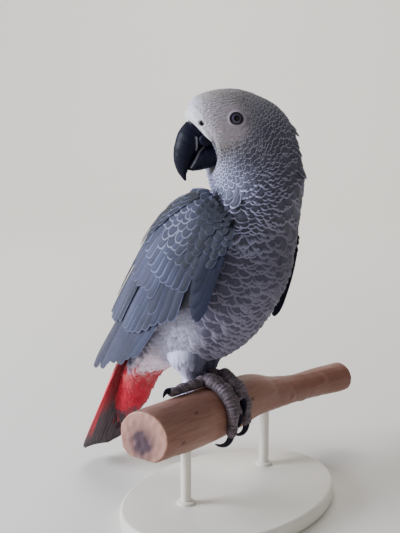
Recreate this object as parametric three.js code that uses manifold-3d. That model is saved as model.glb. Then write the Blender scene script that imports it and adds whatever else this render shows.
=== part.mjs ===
// A life-size grey parrot on a short wooden perch, held up by a plain display stand.
//
// Millimetres, +Z up. The bird's body is symmetric about the plane X = 0 and heads along -Y,
// so its left side is +X. The perch lies along X. The origin is the centre of the stand's
// underside. The head is turned far over the bird's right shoulder.
import * as THREE from "three";
import { mergeVertices } from "three/addons/utils/BufferGeometryUtils.js";
import Module from "manifold-3d";

const wasm = await Module();
wasm.setup();

// ---------------------------------------------------------------- driving dimensions

const GAP = 0.3; // room between pieces that touch
const CLAW_GAP = 0.1; // room between the claws and the wood that they grip
const MERGE = 1e-3; // corners closer than this are one
const GROW_PASSES = 12; // rounds of settling a corner of a grown copy
const GROW_LIMIT = 4; // most that a sharp corner moves, in gaps
const AROUND = 26; // sides of the body's rings
const SIDES = { right: -1, left: 1 };

const BASE = { halfLength: 88, halfWidth: 62, thickness: 11, bevel: 2, curves: 12 };
const ROD = { radius: 3.5, sunk: 6, x: [-36, 52], sides: 14 };

const HEAD_TURN = THREE.MathUtils.degToRad(147.5); // way the bill points, from +X
const NECK_PIVOT = new THREE.Vector3(0, -19.5, 213.5);
const NECK_TWIST = THREE.MathUtils.degToRad(122.5); // from the body's back line to the nape line

// The head and neck in the head's own upright plane, from the bill's base back to the neck:
// a point on the crown line and one on the throat line, each as [forward, up] from the neck
// pivot, and half the width across.
const HEAD_RINGS = [
  { at: "bill base", crown: [44.5, 50.5], throat: [25, 26.5], half: 10.5 },
  { at: "brow", crown: [45.5, 56.5], throat: [26.5, 23.5], half: 14.5 },
  { at: "forehead", crown: [40.5, 64.5], throat: [28.5, 20.5], half: 17.5 },
  { at: "fore crown", crown: [29, 68.7], throat: [31, 17.5], half: 19.5 },
  { at: "crown", crown: [14, 69.5], throat: [31.5, 15], half: 20.5 },
  { at: "hind crown", crown: [0, 65.5], throat: [31, 12.5], half: 22 },
  { at: "occiput", crown: [-13, 58.5], throat: [30.5, 10.5], half: 23.5 },
  { at: "nape", crown: [-22, 47.5], throat: [30, 8.5], half: 24.5 },
  { at: "hind neck", crown: [-26, 35.5], throat: [29, 6.5], half: 26 },
  { at: "low nape", crown: [-29, 23.5], throat: [28, 4.5], half: 27.5 },
  { at: "neck base", crown: [-29.8, 10.5], throat: [26.5, 2.5], half: 29.5 },
];

// The trunk in the plane X = 0: a point on the back and one on the breast, as [y, z].
const TRUNK_RINGS = [
  { at: "shoulders", back: [20, 216.5], breast: [-45, 205], half: 36.5 },
  { at: "upper breast", back: [35.5, 206.5], breast: [-43, 184], half: 38.2 },
  { at: "breast", back: [50.5, 192], breast: [-40, 162.5], half: 37 },
  { at: "middle", back: [62.5, 174.5], breast: [-29, 141], half: 37.5 },
  { at: "belly", back: [71.5, 155], breast: [-15, 122], half: 35.5 },
  { at: "low belly", back: [77, 134], breast: [3, 107], half: 32 },
  { at: "rump", back: [80, 114], breast: [23.5, 99], half: 25.5 },
  { at: "vent", back: [85, 98], breast: [47, 92.5], half: 20.5 },
  { at: "tail coverts", back: [95, 80], breast: [69, 77], half: 16.5 },
  { at: "covert tips", back: [107, 56], breast: [81, 54], half: 12 },
  { at: "tail shadow", back: [110, 46], breast: [91, 44], half: 8 },
];
const HEAD_END = 4.5; // ring numbers where the head, neck and trunk part
const NECK_END = 10.5;
const STEP = 0.5; // rings between two rows of the tables

// The folded wings, each in its own plane: `along` runs from the wrist down the feathers,
// `across` from the lower edge to the back. The left one hangs a little lower.
const WINGS = {
  right: { y: -26.5, z: 207.5, turn: THREE.MathUtils.degToRad(-55.6) },
  left: { y: -22, z: 197.5, turn: THREE.MathUtils.degToRad(-61.5) },
};
const WING_TABLE = [
  { along: 2, low: 1, high: 26, reach: 37, thick: 6, dome: 44 },
  { along: 12, low: -10.5, high: 39, reach: 42, thick: 11, dome: 46 },
  { along: 30, low: -17, high: 47, reach: 44.5, thick: 12, dome: 49 },
  { along: 46, low: -20.5, high: 53, reach: 45, thick: 12, dome: 52 },
  { along: 65, low: -20.5, high: 57, reach: 44.5, thick: 11, dome: 53 },
  { along: 73.5, low: -10, high: 58, reach: 43.5, thick: 10, dome: 53 },
  { along: 94, low: -5, high: 60, reach: 41.5, thick: 8, dome: 53 },
  { along: 113, low: 3, high: 58.5, reach: 39, thick: 6, dome: 53 },
  { along: 137, low: 8.5, high: 55, reach: 34.5, thick: 4, dome: 53 },
  { along: 160, low: 8.5, high: 50, reach: 30, thick: 2.6, dome: 53 },
  { along: 183, low: 8.5, high: 46, reach: 25.5, thick: 2, dome: 53 },
];
const WING_ARCH = { middle: 9.5, below: 75, least: 0.06 };
const WING_EDGE = 0.45; // thickness along the edges, as a share of the middle's
const WING_END = { low: 132, high: 183 }; // how far the lowest and the highest feathers reach
const WING_ROWS = [0, 0.08, 0.2, 0.34, 0.485, 0.55, 0.7, 0.86, 1];
const QUILLS = { count: 9, notch: 4 }; // flight feathers of one wing that show at its end

// The tail: the middle line in the plane X = 0 as [y, z], from under the rump to the tip, with
// half the fan's width and the plate's thickness there.
const TAIL_ROWS = [
  { y: 78, z: 124, half: 12, thick: 4 },
  { y: 97, z: 91, half: 16, thick: 3.5 },
  { y: 113, z: 54, half: 20.5, thick: 2.4 },
  { y: 134.5, z: 10, half: 24, thick: 1.3 },
];
const TAIL = { count: 12, lastRow: 47, notch: 2.5, shorter: 9, droop: 6, lean: 2.5 };
const TAIL_UNDER = { y: -0.84, z: -0.52 }; // way from the tail's back to its underside
const FEATHER_COLUMNS = 3; // columns of a plate to one feather

const EYE = { forward: 20.3, up: 51, out: 15.6, radius: 5, grid: [10, 7] };
const BILL_SIDES = 14;
const BILL_RIDGE = 0.25; // how far the upper bill's sides draw in beside its ridge
const CERE_RINGS = [
  { top: [38, 54.6], low: [29.5, 36], half: 16 },
  { top: [45, 55.2], low: [33, 36], half: 16 },
  { top: [48, 51], low: [36, 36], half: 14 },
];
const UPPER_BILL_RINGS = [
  { top: [45.9, 49.9], low: [33.5, 36.6], half: 8.4 },
  { top: [50.4, 44.8], low: [37.3, 34.4], half: 8.3 },
  { top: [53.2, 37.8], low: [40.4, 30.6], half: 7.7 },
  { top: [54.4, 30.2], low: [42.6, 26.4], half: 6.6 },
  { top: [53.6, 23.4], low: [44.6, 21.6], half: 4.9 },
  { top: [51, 17.8], low: [46.2, 17.6], half: 2.7 },
  { top: [47.4, 13.4], low: [46.2, 13.6], half: 0.6 },
];
const LOWER_BILL_RINGS = [
  { top: [26, 36.5], low: [22.5, 25.5], half: 10.8 },
  { top: [31, 37.3], low: [26.8, 23], half: 11.6 },
  { top: [36.5, 35.8], low: [32, 21], half: 10.4 },
  { top: [41, 31.8], low: [38, 19.8], half: 8.2 },
  { top: [43.6, 26.4], low: [42.6, 19.5], half: 6.2 },
  { top: [45.6, 21.4], low: [45.4, 20.2], half: 3.4 },
];

// The perch: centre line and thickness at each place along X.
const PERCH_ROWS = [
  { x: -75.5, y: 9, z: 68.8, radius: 17.4 },
  { x: -47, y: 9, z: 67.7, radius: 18.3 },
  { x: -19, y: 9, z: 67.2, radius: 18.3 },
  { x: 11, y: 9, z: 67.4, radius: 17.2 },
  { x: 35, y: 9, z: 68.2, radius: 15.4 },
  { x: 63, y: 10, z: 62.8, radius: 12.2 },
  { x: 91, y: 11, z: 58.7, radius: 10.6 },
  { x: 121, y: 11, z: 56.2, radius: 11.2 },
  { x: 152, y: 9, z: 53.7, radius: 12 },
];
const PERCH_SIDES = 20;
const PERCH_BEVEL = { length: 1.5, inward: 0.09 }; // inward as a share of the radius
const PERCH_FLAT = { angle: THREE.MathUtils.degToRad(-152), share: 0.8, least: 0.1 }; // split side
const PERCH_SLANT = 0.22; // how far the near end's cut leans, per mm from the perch's middle

// Each leg: where the shank stands, and the toes as places along X and angles round the perch
// in degrees, 0 at its top and positive to the front, with radii and the claw's length.
const FEET = {
  right: {
    shank: -10.5,
    toes: [
      { name: "front_outer", x: [-13, -13.8], angle: [6, 112], radius: [4.1, 3.5], claw: 12 },
      { name: "front_inner", x: [-7.5, -8], angle: [8, 80], radius: [3.7, 3.0], claw: 9 },
      { name: "back_outer", x: [-13, -43], angle: [-12, -17], radius: [3.9, 3.0], claw: 8 },
      { name: "back_inner", x: [-9, -9], angle: [-14, -82], radius: [3.7, 3.0], claw: 9 },
    ],
  },
  left: {
    shank: 5,
    toes: [
      { name: "front_outer", x: [5.5, 1.8], angle: [6, 102], radius: [3.9, 3.2], claw: 10 },
      { name: "front_inner", x: [1.5, -0.6], angle: [8, 58], radius: [3.6, 3.1], claw: 9 },
      { name: "back_outer", x: [7, 26], angle: [-14, -48], radius: [3.8, 3.0], claw: 8.5 },
      { name: "back_inner", x: [3.5, 2], angle: [-16, -78], radius: [3.7, 3.0], claw: 9 },
    ],
  },
};
const THIGH_SHIFT = { right: [0, 0], left: [4, 3] }; // inwards and back
const LEG = { y: 20.5, z: 91, radius: 4, ball: 5 };
const TOE = { steps: 7, sides: 8, pads: 3, swell: 0.07, end: 0.35, endRadius: 0.55 };
const CLAW = { steps: 4, sides: 5, root: 2.3, taper: 0.7, tip: 0.3 };
const CLAW_RISE = { start: 0.6, arch: 2.6, turn: 0.75, drop: 3.6, least: 0.9 }; // off the perch
const LEG_GRID = { rings: 14, ball: [10, 6] };

// Each feathered thigh, from inside the belly down to the ankle: centre and half-sizes.
const THIGH_ROWS = [
  { out: 14, y: 22, z: 128, half: 9, depth: 12 },
  { out: 14.5, y: 24.5, z: 115, half: 12.5, depth: 16 },
  { out: 14.5, y: 26.5, z: 104, half: 12.5, depth: 15 },
  { out: 12.8, y: 26.5, z: 96, half: 9.2, depth: 10.5 },
  { out: 11, y: 24.5, z: 89.5, half: 5.5, depth: 6.5 },
];

const COLOURS = {
  pale: 0xb9b7bd,
  grey: 0x77777f,
  slate: 0x596070,
  red: 0xb3202c,
  horn: 0x15161c,
  cere: 0xb0aeb2,
  iris: 0x3c3d45,
  scale: 0x5d585d,
  wood: 0x8a5f43,
  paint: 0xe6e1d6,
};

// ---------------------------------------------------------------- shape helpers

const point = (x, y, z) => new THREE.Vector3(x, y, z);

// Reads a table of rows of numbers at a fractional row, by a Catmull-Rom spline.
function between(rows, at) {
  const last = rows.length - 1;
  const row = Math.min(Math.max(Math.floor(at), 0), last - 1);
  const t = at - row;
  const near = (k) => rows[Math.min(Math.max(row + k, 0), last)];
  return rows[0].map((_, i) => {
    const [a, b, c, d] = [near(-1)[i], near(0)[i], near(1)[i], near(2)[i]];
    const turn = 2 * a - 5 * b + 4 * c - d;
    return 0.5 * (2 * b + (c - a) * t + turn * t * t + (3 * (b - c) + d - a) * t ** 3);
  });
}

// Lists the numbers from one value to another in equal steps.
function steps(from, to, count) {
  return Array.from({ length: count + 1 }, (_, i) => from + ((to - from) * i) / count);
}

// A closed surface through rings of points, with a fan of faces over each end.
function loft(rings) {
  const sides = rings[0].length;
  const ends = [rings[0], rings[rings.length - 1]];
  const middle = (ring) =>
    ring.reduce((sum, p) => sum.add(p), point(0, 0, 0)).divideScalar(sides);
  const places = [...rings.flat(), ...ends.map(middle)];
  const faces = [];
  for (let r = 0; r + 1 < rings.length; r++)
    for (let s = 0; s < sides; s++) {
      const next = (s + 1) % sides;
      const [a, b] = [r * sides + s, r * sides + next];
      faces.push(a, b, b + sides, a, b + sides, a + sides);
    }
  const [first, last] = [rings.length * sides, rings.length * sides + 1];
  const top = (rings.length - 1) * sides;
  for (let s = 0; s < sides; s++) {
    const next = (s + 1) % sides;
    faces.push(first, next, s, last, top + s, top + next);
  }
  const geometry = new THREE.BufferGeometry().setFromPoints(places);
  geometry.setIndex(faces);
  return geometry;
}

// A closed plate between an outer and an inner grid of points.
function plate(outer, inner) {
  const [rows, columns] = [outer.length, outer[0].length];
  const out = (r, c) => r * columns + c;
  const back = (r, c) => rows * columns + out(r, c);
  const faces = [];
  const quad = (a, b, c, d) => faces.push(a, b, c, a, c, d);
  for (let r = 0; r + 1 < rows; r++) {
    for (let c = 0; c + 1 < columns; c++) {
      quad(out(r, c), out(r, c + 1), out(r + 1, c + 1), out(r + 1, c));
      quad(back(r, c), back(r + 1, c), back(r + 1, c + 1), back(r, c + 1));
    }
    quad(out(r, 0), out(r + 1, 0), back(r + 1, 0), back(r, 0));
    const end = columns - 1;
    quad(out(r + 1, end), out(r, end), back(r, end), back(r + 1, end));
  }
  for (let c = 0; c + 1 < columns; c++) {
    quad(out(0, c + 1), out(0, c), back(0, c), back(0, c + 1));
    const end = rows - 1;
    quad(out(end, c), out(end, c + 1), back(end, c + 1), back(end, c));
  }
  const geometry = new THREE.BufferGeometry();
  geometry.setFromPoints([...outer.flat(), ...inner.flat()]);
  geometry.setIndex(faces);
  return geometry;
}

// An oval ring between two opposite points, reaching `half` to each side of that line.
// A ridge above 0 draws the ring in beside its first point, as along a bill's ridge.
function oval(top, low, side, count, start = 0, ridge = 0) {
  const centre = top.clone().add(low).multiplyScalar(0.5);
  const up = top.clone().sub(centre);
  return steps(0, 2 * Math.PI, count)
    .slice(0, count)
    .map((angle) => {
      const a = angle - start;
      const narrowing = 1 - ridge * Math.max(Math.cos(a), 0);
      return centre
        .clone()
        .addScaledVector(up, Math.cos(a))
        .addScaledVector(side, Math.sin(a) * narrowing);
    });
}

// A tube of changing radius along a list of points, closed at both ends.
function tube(places, radii, sides) {
  const curve = new THREE.CatmullRomCurve3(places);
  const frames = curve.computeFrenetFrames(places.length - 1, false);
  const rings = places.map((centre, i) =>
    steps(0, 2 * Math.PI, sides)
      .slice(0, sides)
      .map((a) =>
        centre
          .clone()
          .addScaledVector(frames.normals[i], radii[i] * Math.cos(a))
          .addScaledVector(frames.binormals[i], radii[i] * Math.sin(a)),
      ),
  );
  return loft(rings);
}

// Turns a geometry into a solid, facing out.
function solid(geometry) {
  const bare = new THREE.BufferGeometry();
  bare.setAttribute("position", geometry.getAttribute("position").clone());
  if (geometry.index) bare.setIndex(geometry.index.clone());
  const merged = mergeVertices(bare, MERGE);
  const read = () =>
    new wasm.Manifold(
      new wasm.Mesh({
        numProp: 3,
        vertProperties: new Float32Array(merged.getAttribute("position").array),
        triVerts: new Uint32Array(merged.index.array),
      }),
    );
  const made = read();
  if (made.volume() > 0) return made;
  const order = merged.index.array;
  for (let i = 0; i < order.length; i += 3)
    [order[i + 1], order[i + 2]] = [order[i + 2], order[i + 1]];
  return read();
}

// A larger copy of a solid, for cutting room round it: each corner moves out until all the
// faces that meet there have moved by the distance.
function grownOne(made, distance) {
  const geometry = geometryOf(made);
  const places = geometry.getAttribute("position");
  const order = geometry.index.array;
  const corner = (i) => point().fromBufferAttribute(places, i);
  const faces = Array.from({ length: places.count }, () => []);
  for (let i = 0; i < order.length; i += 3) {
    const ids = order.slice(i, i + 3);
    const [a, b, c] = [...ids].map(corner);
    const normal = b.sub(a).cross(c.sub(a)).normalize();
    if (normal.lengthSq() > 0) ids.forEach((id) => faces[id].push(normal));
  }
  const moves = faces.map((normals) => {
    const move = point(0, 0, 0);
    for (let pass = 0; pass < GROW_PASSES; pass++)
      for (const normal of normals)
        move.addScaledVector(normal, Math.max(distance - normal.dot(move), 0));
    return move.clampLength(0, GROW_LIMIT * distance);
  });
  moves.forEach((move, i) => places.setXYZ(i, ...corner(i).add(move).toArray()));
  return solid(geometry);
}

function geometryOf(made) {
  const mesh = made.getMesh();
  const geometry = new THREE.BufferGeometry();
  const places = new Float32Array(mesh.numVert * 3);
  for (let i = 0; i < mesh.numVert; i++)
    places.set(mesh.vertProperties.subarray(i * mesh.numProp, i * mesh.numProp + 3), i * 3);
  geometry.setAttribute("position", new THREE.BufferAttribute(places, 3));
  geometry.setIndex(new THREE.BufferAttribute(new Uint32Array(mesh.triVerts), 1));
  return geometry;
}

const grown = (list, by = GAP) => list.map((made) => grownOne(made, by));
const joined = (list) => list.reduce((sum, one) => sum.add(one));
const cutBy = (made, cutters) => cutters.reduce((rest, one) => rest.subtract(one), made);
const largest = (made) =>
  made.decompose().reduce((best, one) => (one.volume() > best.volume() ? one : best));

// ---------------------------------------------------------------- body

const bodyRows = [
  ...HEAD_RINGS.map(({ crown, throat, half }) => {
    const forward = point(Math.cos(HEAD_TURN), Math.sin(HEAD_TURN), 0);
    const place = ([along, up]) =>
      NECK_PIVOT.clone().addScaledVector(forward, along).add(point(0, 0, up));
    const side = point(-Math.sin(HEAD_TURN), Math.cos(HEAD_TURN), 0);
    return { top: place(crown), low: place(throat), side: side.multiplyScalar(half), turn: NECK_TWIST };
  }),
  ...TRUNK_RINGS.map(({ back, breast, half }) => ({
    top: point(0, ...back),
    low: point(0, ...breast),
    side: point(half, 0, 0),
    turn: 0,
  })),
].map(({ top, low, side, turn }) =>
  oval(top, low, side, AROUND, turn).flatMap((p) => p.toArray()),
);

// The ring of the body's outline at a fractional row.
function bodyRing(at) {
  const numbers = between(bodyRows, at);
  return steps(0, AROUND - 1, AROUND - 1).map((i) => point().fromArray(numbers, 3 * i));
}

function bodyLength(from, to) {
  const count = Math.round((to - from) / STEP);
  return loft(steps(from, to, count).map(bodyRing));
}

// A place in the head's upright plane, moved out to one side of it.
function headPlace([along, up], out = 0) {
  const turned = point(along, out, up).applyAxisAngle(point(0, 0, 1), HEAD_TURN);
  return turned.add(NECK_PIVOT);
}

function billLoft(rows, ridge) {
  const numbers = rows.map(({ top, low, half }) => [...top, ...low, half]);
  const side = headPlace([0, 0], 1).sub(headPlace([0, 0]));
  const rings = steps(0, rows.length - 1, 2 * (rows.length - 1)).map((at) => {
    const [t1, t2, l1, l2, half] = between(numbers, at);
    const reach = side.clone().multiplyScalar(half);
    return oval(headPlace([t1, t2]), headPlace([l1, l2]), reach, BILL_SIDES, 0, ridge);
  });
  return loft(rings);
}

function eyeball(out) {
  const geometry = new THREE.SphereGeometry(EYE.radius, ...EYE.grid);
  geometry.translate(...headPlace([EYE.forward, EYE.up], out * EYE.out).toArray());
  return geometry;
}

// ---------------------------------------------------------------- wings and tail

// How far a row of feather ends falls back beside a column: all of it between two feathers.
const notched = (column, notch) => (column % FEATHER_COLUMNS === 0 ? notch : 0);

const wingRows = WING_TABLE.map((w) => [w.along, w.low, w.high, w.reach, w.thick, w.dome]);

// The wing table's numbers at a distance from the wrist.
function wingAt(along) {
  const found = wingRows.findIndex((row) => row[0] > along);
  const next = found < 0 ? wingRows.length - 1 : Math.max(found, 1);
  const [a, b] = [wingRows[next - 1], wingRows[next]];
  const share = Math.min(Math.max((along - a[0]) / (b[0] - a[0]), 0), 1);
  return a.map((value, i) => value + (b[i] - value) * share);
}

// A place on a folded wing's outer face, `inward` of it towards the plane X = 0.
function wingPlace(name, along, share, inward) {
  const [, low, high, reach, , dome] = wingAt(along);
  const across = low + (high - low) * share;
  const bow = across - WING_ARCH.middle;
  const bend = bow / (bow > 0 ? dome : WING_ARCH.below);
  const out = reach * Math.sqrt(Math.max(1 - bend * bend, WING_ARCH.least)) - inward;
  const { y, z, turn } = WINGS[name];
  const [c, s] = [Math.cos(turn), Math.sin(turn)];
  return point(SIDES[name] * out, y + c * along - s * across, z + s * along + c * across);
}

// One wing: a plate over the flank, thick in front and thin at its feather ends.
function wing(name) {
  const start = wingRows[0][0];
  const face = (inner) =>
    WING_ROWS.map((s) =>
      steps(0, 1, QUILLS.count * FEATHER_COLUMNS).map((share, column) => {
        const end = WING_END.low + (WING_END.high - WING_END.low) * share;
        const tip = s === 1 ? notched(column, QUILLS.notch) : 0;
        const along = start + (end - start) * s - tip;
        const thick = wingAt(along)[4] * THREE.MathUtils.lerp(WING_EDGE, 1, Math.sin(Math.PI * share));
        return wingPlace(name, along, share, inner ? thick : 0);
      }),
    );
  return plate(face(false), face(true));
}

// The fanned tail, arched so that its sides hang lower than its middle.
function tailFan() {
  const columns = TAIL.count * FEATHER_COLUMNS;
  const rows = TAIL_ROWS.map((r) => [r.y, r.z, r.half, r.thick]);
  const last = TAIL_ROWS.length - 1;
  const face = (under) =>
    steps(0, last, last).map((at) =>
      steps(-1, 1, columns).map((fan, column) => {
        const drawn = TAIL.shorter * fan * fan + notched(column, TAIL.notch);
        const [y, z, half, thick] = between(rows, at - (at === last ? drawn / TAIL.lastRow : 0));
        const drop = TAIL.droop * fan * fan + (under ? thick : 0);
        const lower = z + TAIL_UNDER.z * drop - TAIL.lean * fan;
        return point(fan * half, y + TAIL_UNDER.y * drop, lower);
      }),
    );
  return plate(face(false), face(true));
}

// ---------------------------------------------------------------- legs

const perchRows = PERCH_ROWS.map((r) => [r.x, r.y, r.z, r.radius]);

// A place above the perch's surface, at an angle round it: 0 is its top, 90 its front.
function perchPlace(x, degrees, lift = 0) {
  let row = PERCH_ROWS.findIndex((r) => r.x > x) - 1;
  if (row < 0) row = x < 0 ? 0 : PERCH_ROWS.length - 2;
  const share = (x - PERCH_ROWS[row].x) / (PERCH_ROWS[row + 1].x - PERCH_ROWS[row].x);
  const [, y, z, radius] = between(perchRows, row + share);
  const a = THREE.MathUtils.degToRad(degrees);
  const facing = Math.cos(a - PERCH_FLAT.angle);
  const out = Math.min(radius, (PERCH_FLAT.share * radius) / Math.max(facing, PERCH_FLAT.least)) + lift;
  return point(x, y - out * Math.sin(a), z + out * Math.cos(a));
}

function perch() {
  const rings = PERCH_ROWS.map(({ x }) =>
    steps(0, 360, PERCH_SIDES)
      .slice(0, PERCH_SIDES)
      .map((angle) => perchPlace(x, angle)),
  );
  const ends = [rings[0], rings[rings.length - 1]];
  const [near, far] = ends.map((ring) => {
    const centre = ring.reduce((sum, p) => sum.add(p), point(0, 0, 0));
    centre.divideScalar(ring.length);
    return ring.map((p) => p.clone().lerp(centre, PERCH_BEVEL.inward));
  });
  near.forEach((p) => p.add(point(-PERCH_BEVEL.length, 0, 0)));
  far.forEach((p) => p.add(point(PERCH_BEVEL.length, 0, 0)));
  const slanted = (p) => p.add(point(-PERCH_SLANT * (p.y - PERCH_ROWS[0].y), 0, 0));
  [near, rings[0]].forEach((ring) => ring.forEach(slanted));
  return loft([near, ...rings, far]);
}

// The way of one toe over the perch, then the claw's beyond it.
function toePath(toe) {
  const way = (s, lift) => {
    const x = toe.x[0] + (toe.x[1] - toe.x[0]) * s;
    return perchPlace(x, toe.angle[0] + (toe.angle[1] - toe.angle[0]) * s, lift);
  };
  const radii = steps(0, 1, TOE.steps).map((s) => {
    const pads = 1 + TOE.swell * Math.cos(2 * Math.PI * TOE.pads * s);
    return (toe.radius[0] + (toe.radius[1] - toe.radius[0]) * s) * pads;
  });
  return { way, radii };
}

function toeTube(toe) {
  const { way, radii } = toePath(toe);
  const places = radii.map((r, i) => way(i / TOE.steps, r + GAP));
  const tip = places[TOE.steps].clone().lerp(places[TOE.steps - 1], -TOE.end);
  return tube([...places, tip], [...radii, TOE.endRadius * radii[TOE.steps]], TOE.sides);
}

function clawTube(toe) {
  const { way } = toePath(toe);
  const share = toe.claw / way(2, 0).distanceTo(way(1, 0));
  const { start, arch, turn, drop, least } = CLAW_RISE;
  const shares = steps(0, 1, CLAW.steps);
  const places = shares.map((t) => {
    const lift = toe.radius[1] + start + arch * Math.sin(Math.PI * t * turn) - drop * t * t;
    return way(1 + t * share, Math.max(lift, least));
  });
  const radii = shares.map((t) => CLAW.root * (1 - t) ** CLAW.taper + CLAW.tip);
  return tube(places, radii, CLAW.sides);
}

function footPieces({ shank, toes }) {
  const sole = perchPlace(shank, 0, LEG.ball + GAP);
  const ankle = point(shank, LEG.y, LEG.z);
  const radii = [LEG.radius, LEG.radius, LEG.radius];
  const leg = tube([ankle, ankle.clone().lerp(sole, 0.5), sole], radii, TOE.sides);
  const ball = new THREE.SphereGeometry(LEG.ball, ...LEG_GRID.ball);
  ball.translate(...sole.toArray());
  return [leg, ball, ...toes.map(toeTube)].map((one) => solid(one));
}

function thigh(name) {
  const [inward, back] = THIGH_SHIFT[name];
  const numbers = THIGH_ROWS.map((r) => [r.out, r.y, r.z, r.half, r.depth]);
  const rings = steps(0, THIGH_ROWS.length - 1, 2 * (THIGH_ROWS.length - 1)).map((at) => {
    const [out, y, z, half, depth] = between(numbers, at);
    const x = SIDES[name] * (out - inward);
    const [rear, front] = [depth, -depth].map((d) => point(x, y + back + d, z));
    return oval(rear, front, point(half, 0, 0), LEG_GRID.rings);
  });
  return loft(rings);
}

// ---------------------------------------------------------------- stand

function standBase() {
  const outline = new THREE.Shape();
  const [a, b] = [BASE.halfLength - BASE.bevel, BASE.halfWidth - BASE.bevel];
  outline.absellipse(0, 0, a, b, 0, 2 * Math.PI);
  const geometry = new THREE.ExtrudeGeometry(outline, {
    depth: BASE.thickness - 2 * BASE.bevel,
    bevelThickness: BASE.bevel,
    bevelSize: BASE.bevel,
    bevelSegments: 1,
    curveSegments: BASE.curves,
  });
  return geometry.translate(0, 0, BASE.bevel);
}

function standRod(x) {
  const low = BASE.thickness + GAP;
  const high = perchPlace(x, 180).z + ROD.sunk;
  const geometry = new THREE.CylinderGeometry(ROD.radius, ROD.radius, high - low, ROD.sides);
  geometry.rotateX(Math.PI / 2);
  return geometry.translate(x, perchPlace(x, 180).y, (low + high) / 2);
}

// ---------------------------------------------------------------- assembly

const parrot = new THREE.Group();

function add(name, made, colour, roughness = 0.8) {
  const material = new THREE.MeshStandardMaterial({ color: colour, roughness, metalness: 0 });
  const mesh = new THREE.Mesh(geometryOf(largest(made)), material);
  mesh.name = name;
  parrot.add(mesh);
}

const neck = solid(bodyLength(HEAD_END, NECK_END));
const wholeHead = solid(bodyLength(0, HEAD_END));
const head = cutBy(wholeHead, grown([neck]));
const trunk = cutBy(solid(bodyLength(NECK_END, bodyRows.length - 1)), grown([neck]));
const lowerBill = solid(billLoft(LOWER_BILL_RINGS, 0));
const wholeUpperBill = solid(billLoft(UPPER_BILL_RINGS, BILL_RIDGE));
const cereRoom = solid(billLoft(CERE_RINGS, 0));
const upperBill = cutBy(wholeUpperBill, grown([lowerBill]));
const cere = cutBy(cereRoom.intersect(wholeHead), grown([lowerBill, wholeUpperBill]));
const eyes = { left: solid(eyeball(1)), right: solid(eyeball(-1)) };

add("cere", cere, COLOURS.cere, 0.6);
add("upper_bill", upperBill, COLOURS.horn, 0.35);
add("lower_bill", lowerBill, COLOURS.horn, 0.4);
add("eye_left", eyes.left, COLOURS.iris, 0.1);
add("eye_right", eyes.right, COLOURS.iris, 0.1);
const face = grown([cereRoom, wholeUpperBill, lowerBill, eyes.left, eyes.right]);
add("head", cutBy(head, face), COLOURS.pale);
add("neck", cutBy(neck, face), COLOURS.grey);
add("trunk", trunk, COLOURS.grey);

const flesh = grown([head, neck, trunk]);
const tail = solid(tailFan());
add("tail", cutBy(tail, flesh), COLOURS.red);

const wood = solid(perch());
const rods = ROD.x.map((x) => solid(standRod(x)));
for (const name of Object.keys(SIDES)) {
  const foot = footPieces(FEET[name]);
  add("foot_" + name, joined(foot), COLOURS.scale, 0.7);
  for (const toe of FEET[name].toes) {
    const claw = cutBy(solid(clawTube(toe)), [...grown(foot), ...grown([wood], CLAW_GAP)]);
    add("claw_" + name + "_" + toe.name, claw, COLOURS.horn, 0.3);
  }
  const leg = solid(thigh(name));
  add("thigh_" + name, cutBy(leg, [...flesh, ...grown(foot)]), COLOURS.pale);
  const around = [...flesh, ...grown([leg, tail])];
  add("wing_" + name, cutBy(solid(wing(name)), around), COLOURS.slate);
}

add("perch", cutBy(wood, grown(rods)), COLOURS.wood, 0.6);
ROD.x.forEach((_, i) => add("stand_rod_" + (i + 1), rods[i], COLOURS.paint, 0.4));
add("stand_base", solid(standBase()), COLOURS.paint, 0.4);

export default parrot;
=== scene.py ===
import math
from collections import namedtuple

import bpy
import numpy as np
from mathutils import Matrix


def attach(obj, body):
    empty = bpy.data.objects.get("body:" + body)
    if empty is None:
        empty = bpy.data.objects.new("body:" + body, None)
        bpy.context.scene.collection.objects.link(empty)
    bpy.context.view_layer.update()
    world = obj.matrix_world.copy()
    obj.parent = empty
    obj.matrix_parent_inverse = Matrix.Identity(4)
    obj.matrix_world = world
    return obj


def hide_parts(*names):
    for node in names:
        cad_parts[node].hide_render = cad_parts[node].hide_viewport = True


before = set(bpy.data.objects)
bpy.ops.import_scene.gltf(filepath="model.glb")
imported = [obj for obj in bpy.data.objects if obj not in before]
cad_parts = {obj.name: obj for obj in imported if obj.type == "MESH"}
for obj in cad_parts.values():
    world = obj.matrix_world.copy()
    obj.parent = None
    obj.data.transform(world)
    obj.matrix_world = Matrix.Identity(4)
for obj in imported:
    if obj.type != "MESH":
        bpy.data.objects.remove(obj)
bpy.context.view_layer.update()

bl_info = {
    "name": "Grey Parrot on a Perch",
    "version": (1, 0, 0),
    "blender": (4, 5, 0),
    "location": "View3D > Sidebar > Parrot",
    "description": "Dresses a life-size grey parrot: skin, feathers, bill, eyes, feet, perch and stand",
    "category": "Object",
}

MM = 0.001
TURN = 2 * math.pi
SIDES = {"right": -1, "left": 1}


def tone(code):
    """Linear red, green and blue of a six-figure colour code: each share of 255 with the
    screen's curve taken off, a short straight part and then a power of 2.4."""
    parts = np.array([int(code[i : i + 2], 16) for i in (0, 2, 4)]) / 255
    curved = ((parts + 0.055) / 1.055) ** 2.4
    return tuple(float(p) for p in np.where(parts <= 0.04045, parts / 12.92, curved))


# ---- sizes, in millimetres

HEAD_TURN = math.radians(147.5)
AHEAD = np.array([math.cos(HEAD_TURN), math.sin(HEAD_TURN), 0])  # the way that the bill points
BESIDE = np.array([-math.sin(HEAD_TURN), math.cos(HEAD_TURN), 0])
UP = np.array([0, 0, 1.0])
NECK_PIVOT = np.array([0, -19.5, 213.5])
NECK_TWIST = math.radians(122.5)
CROWN = NECK_TWIST / TURN  # where the crown line lies round the head's rings
THROAT = CROWN + 0.5

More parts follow.
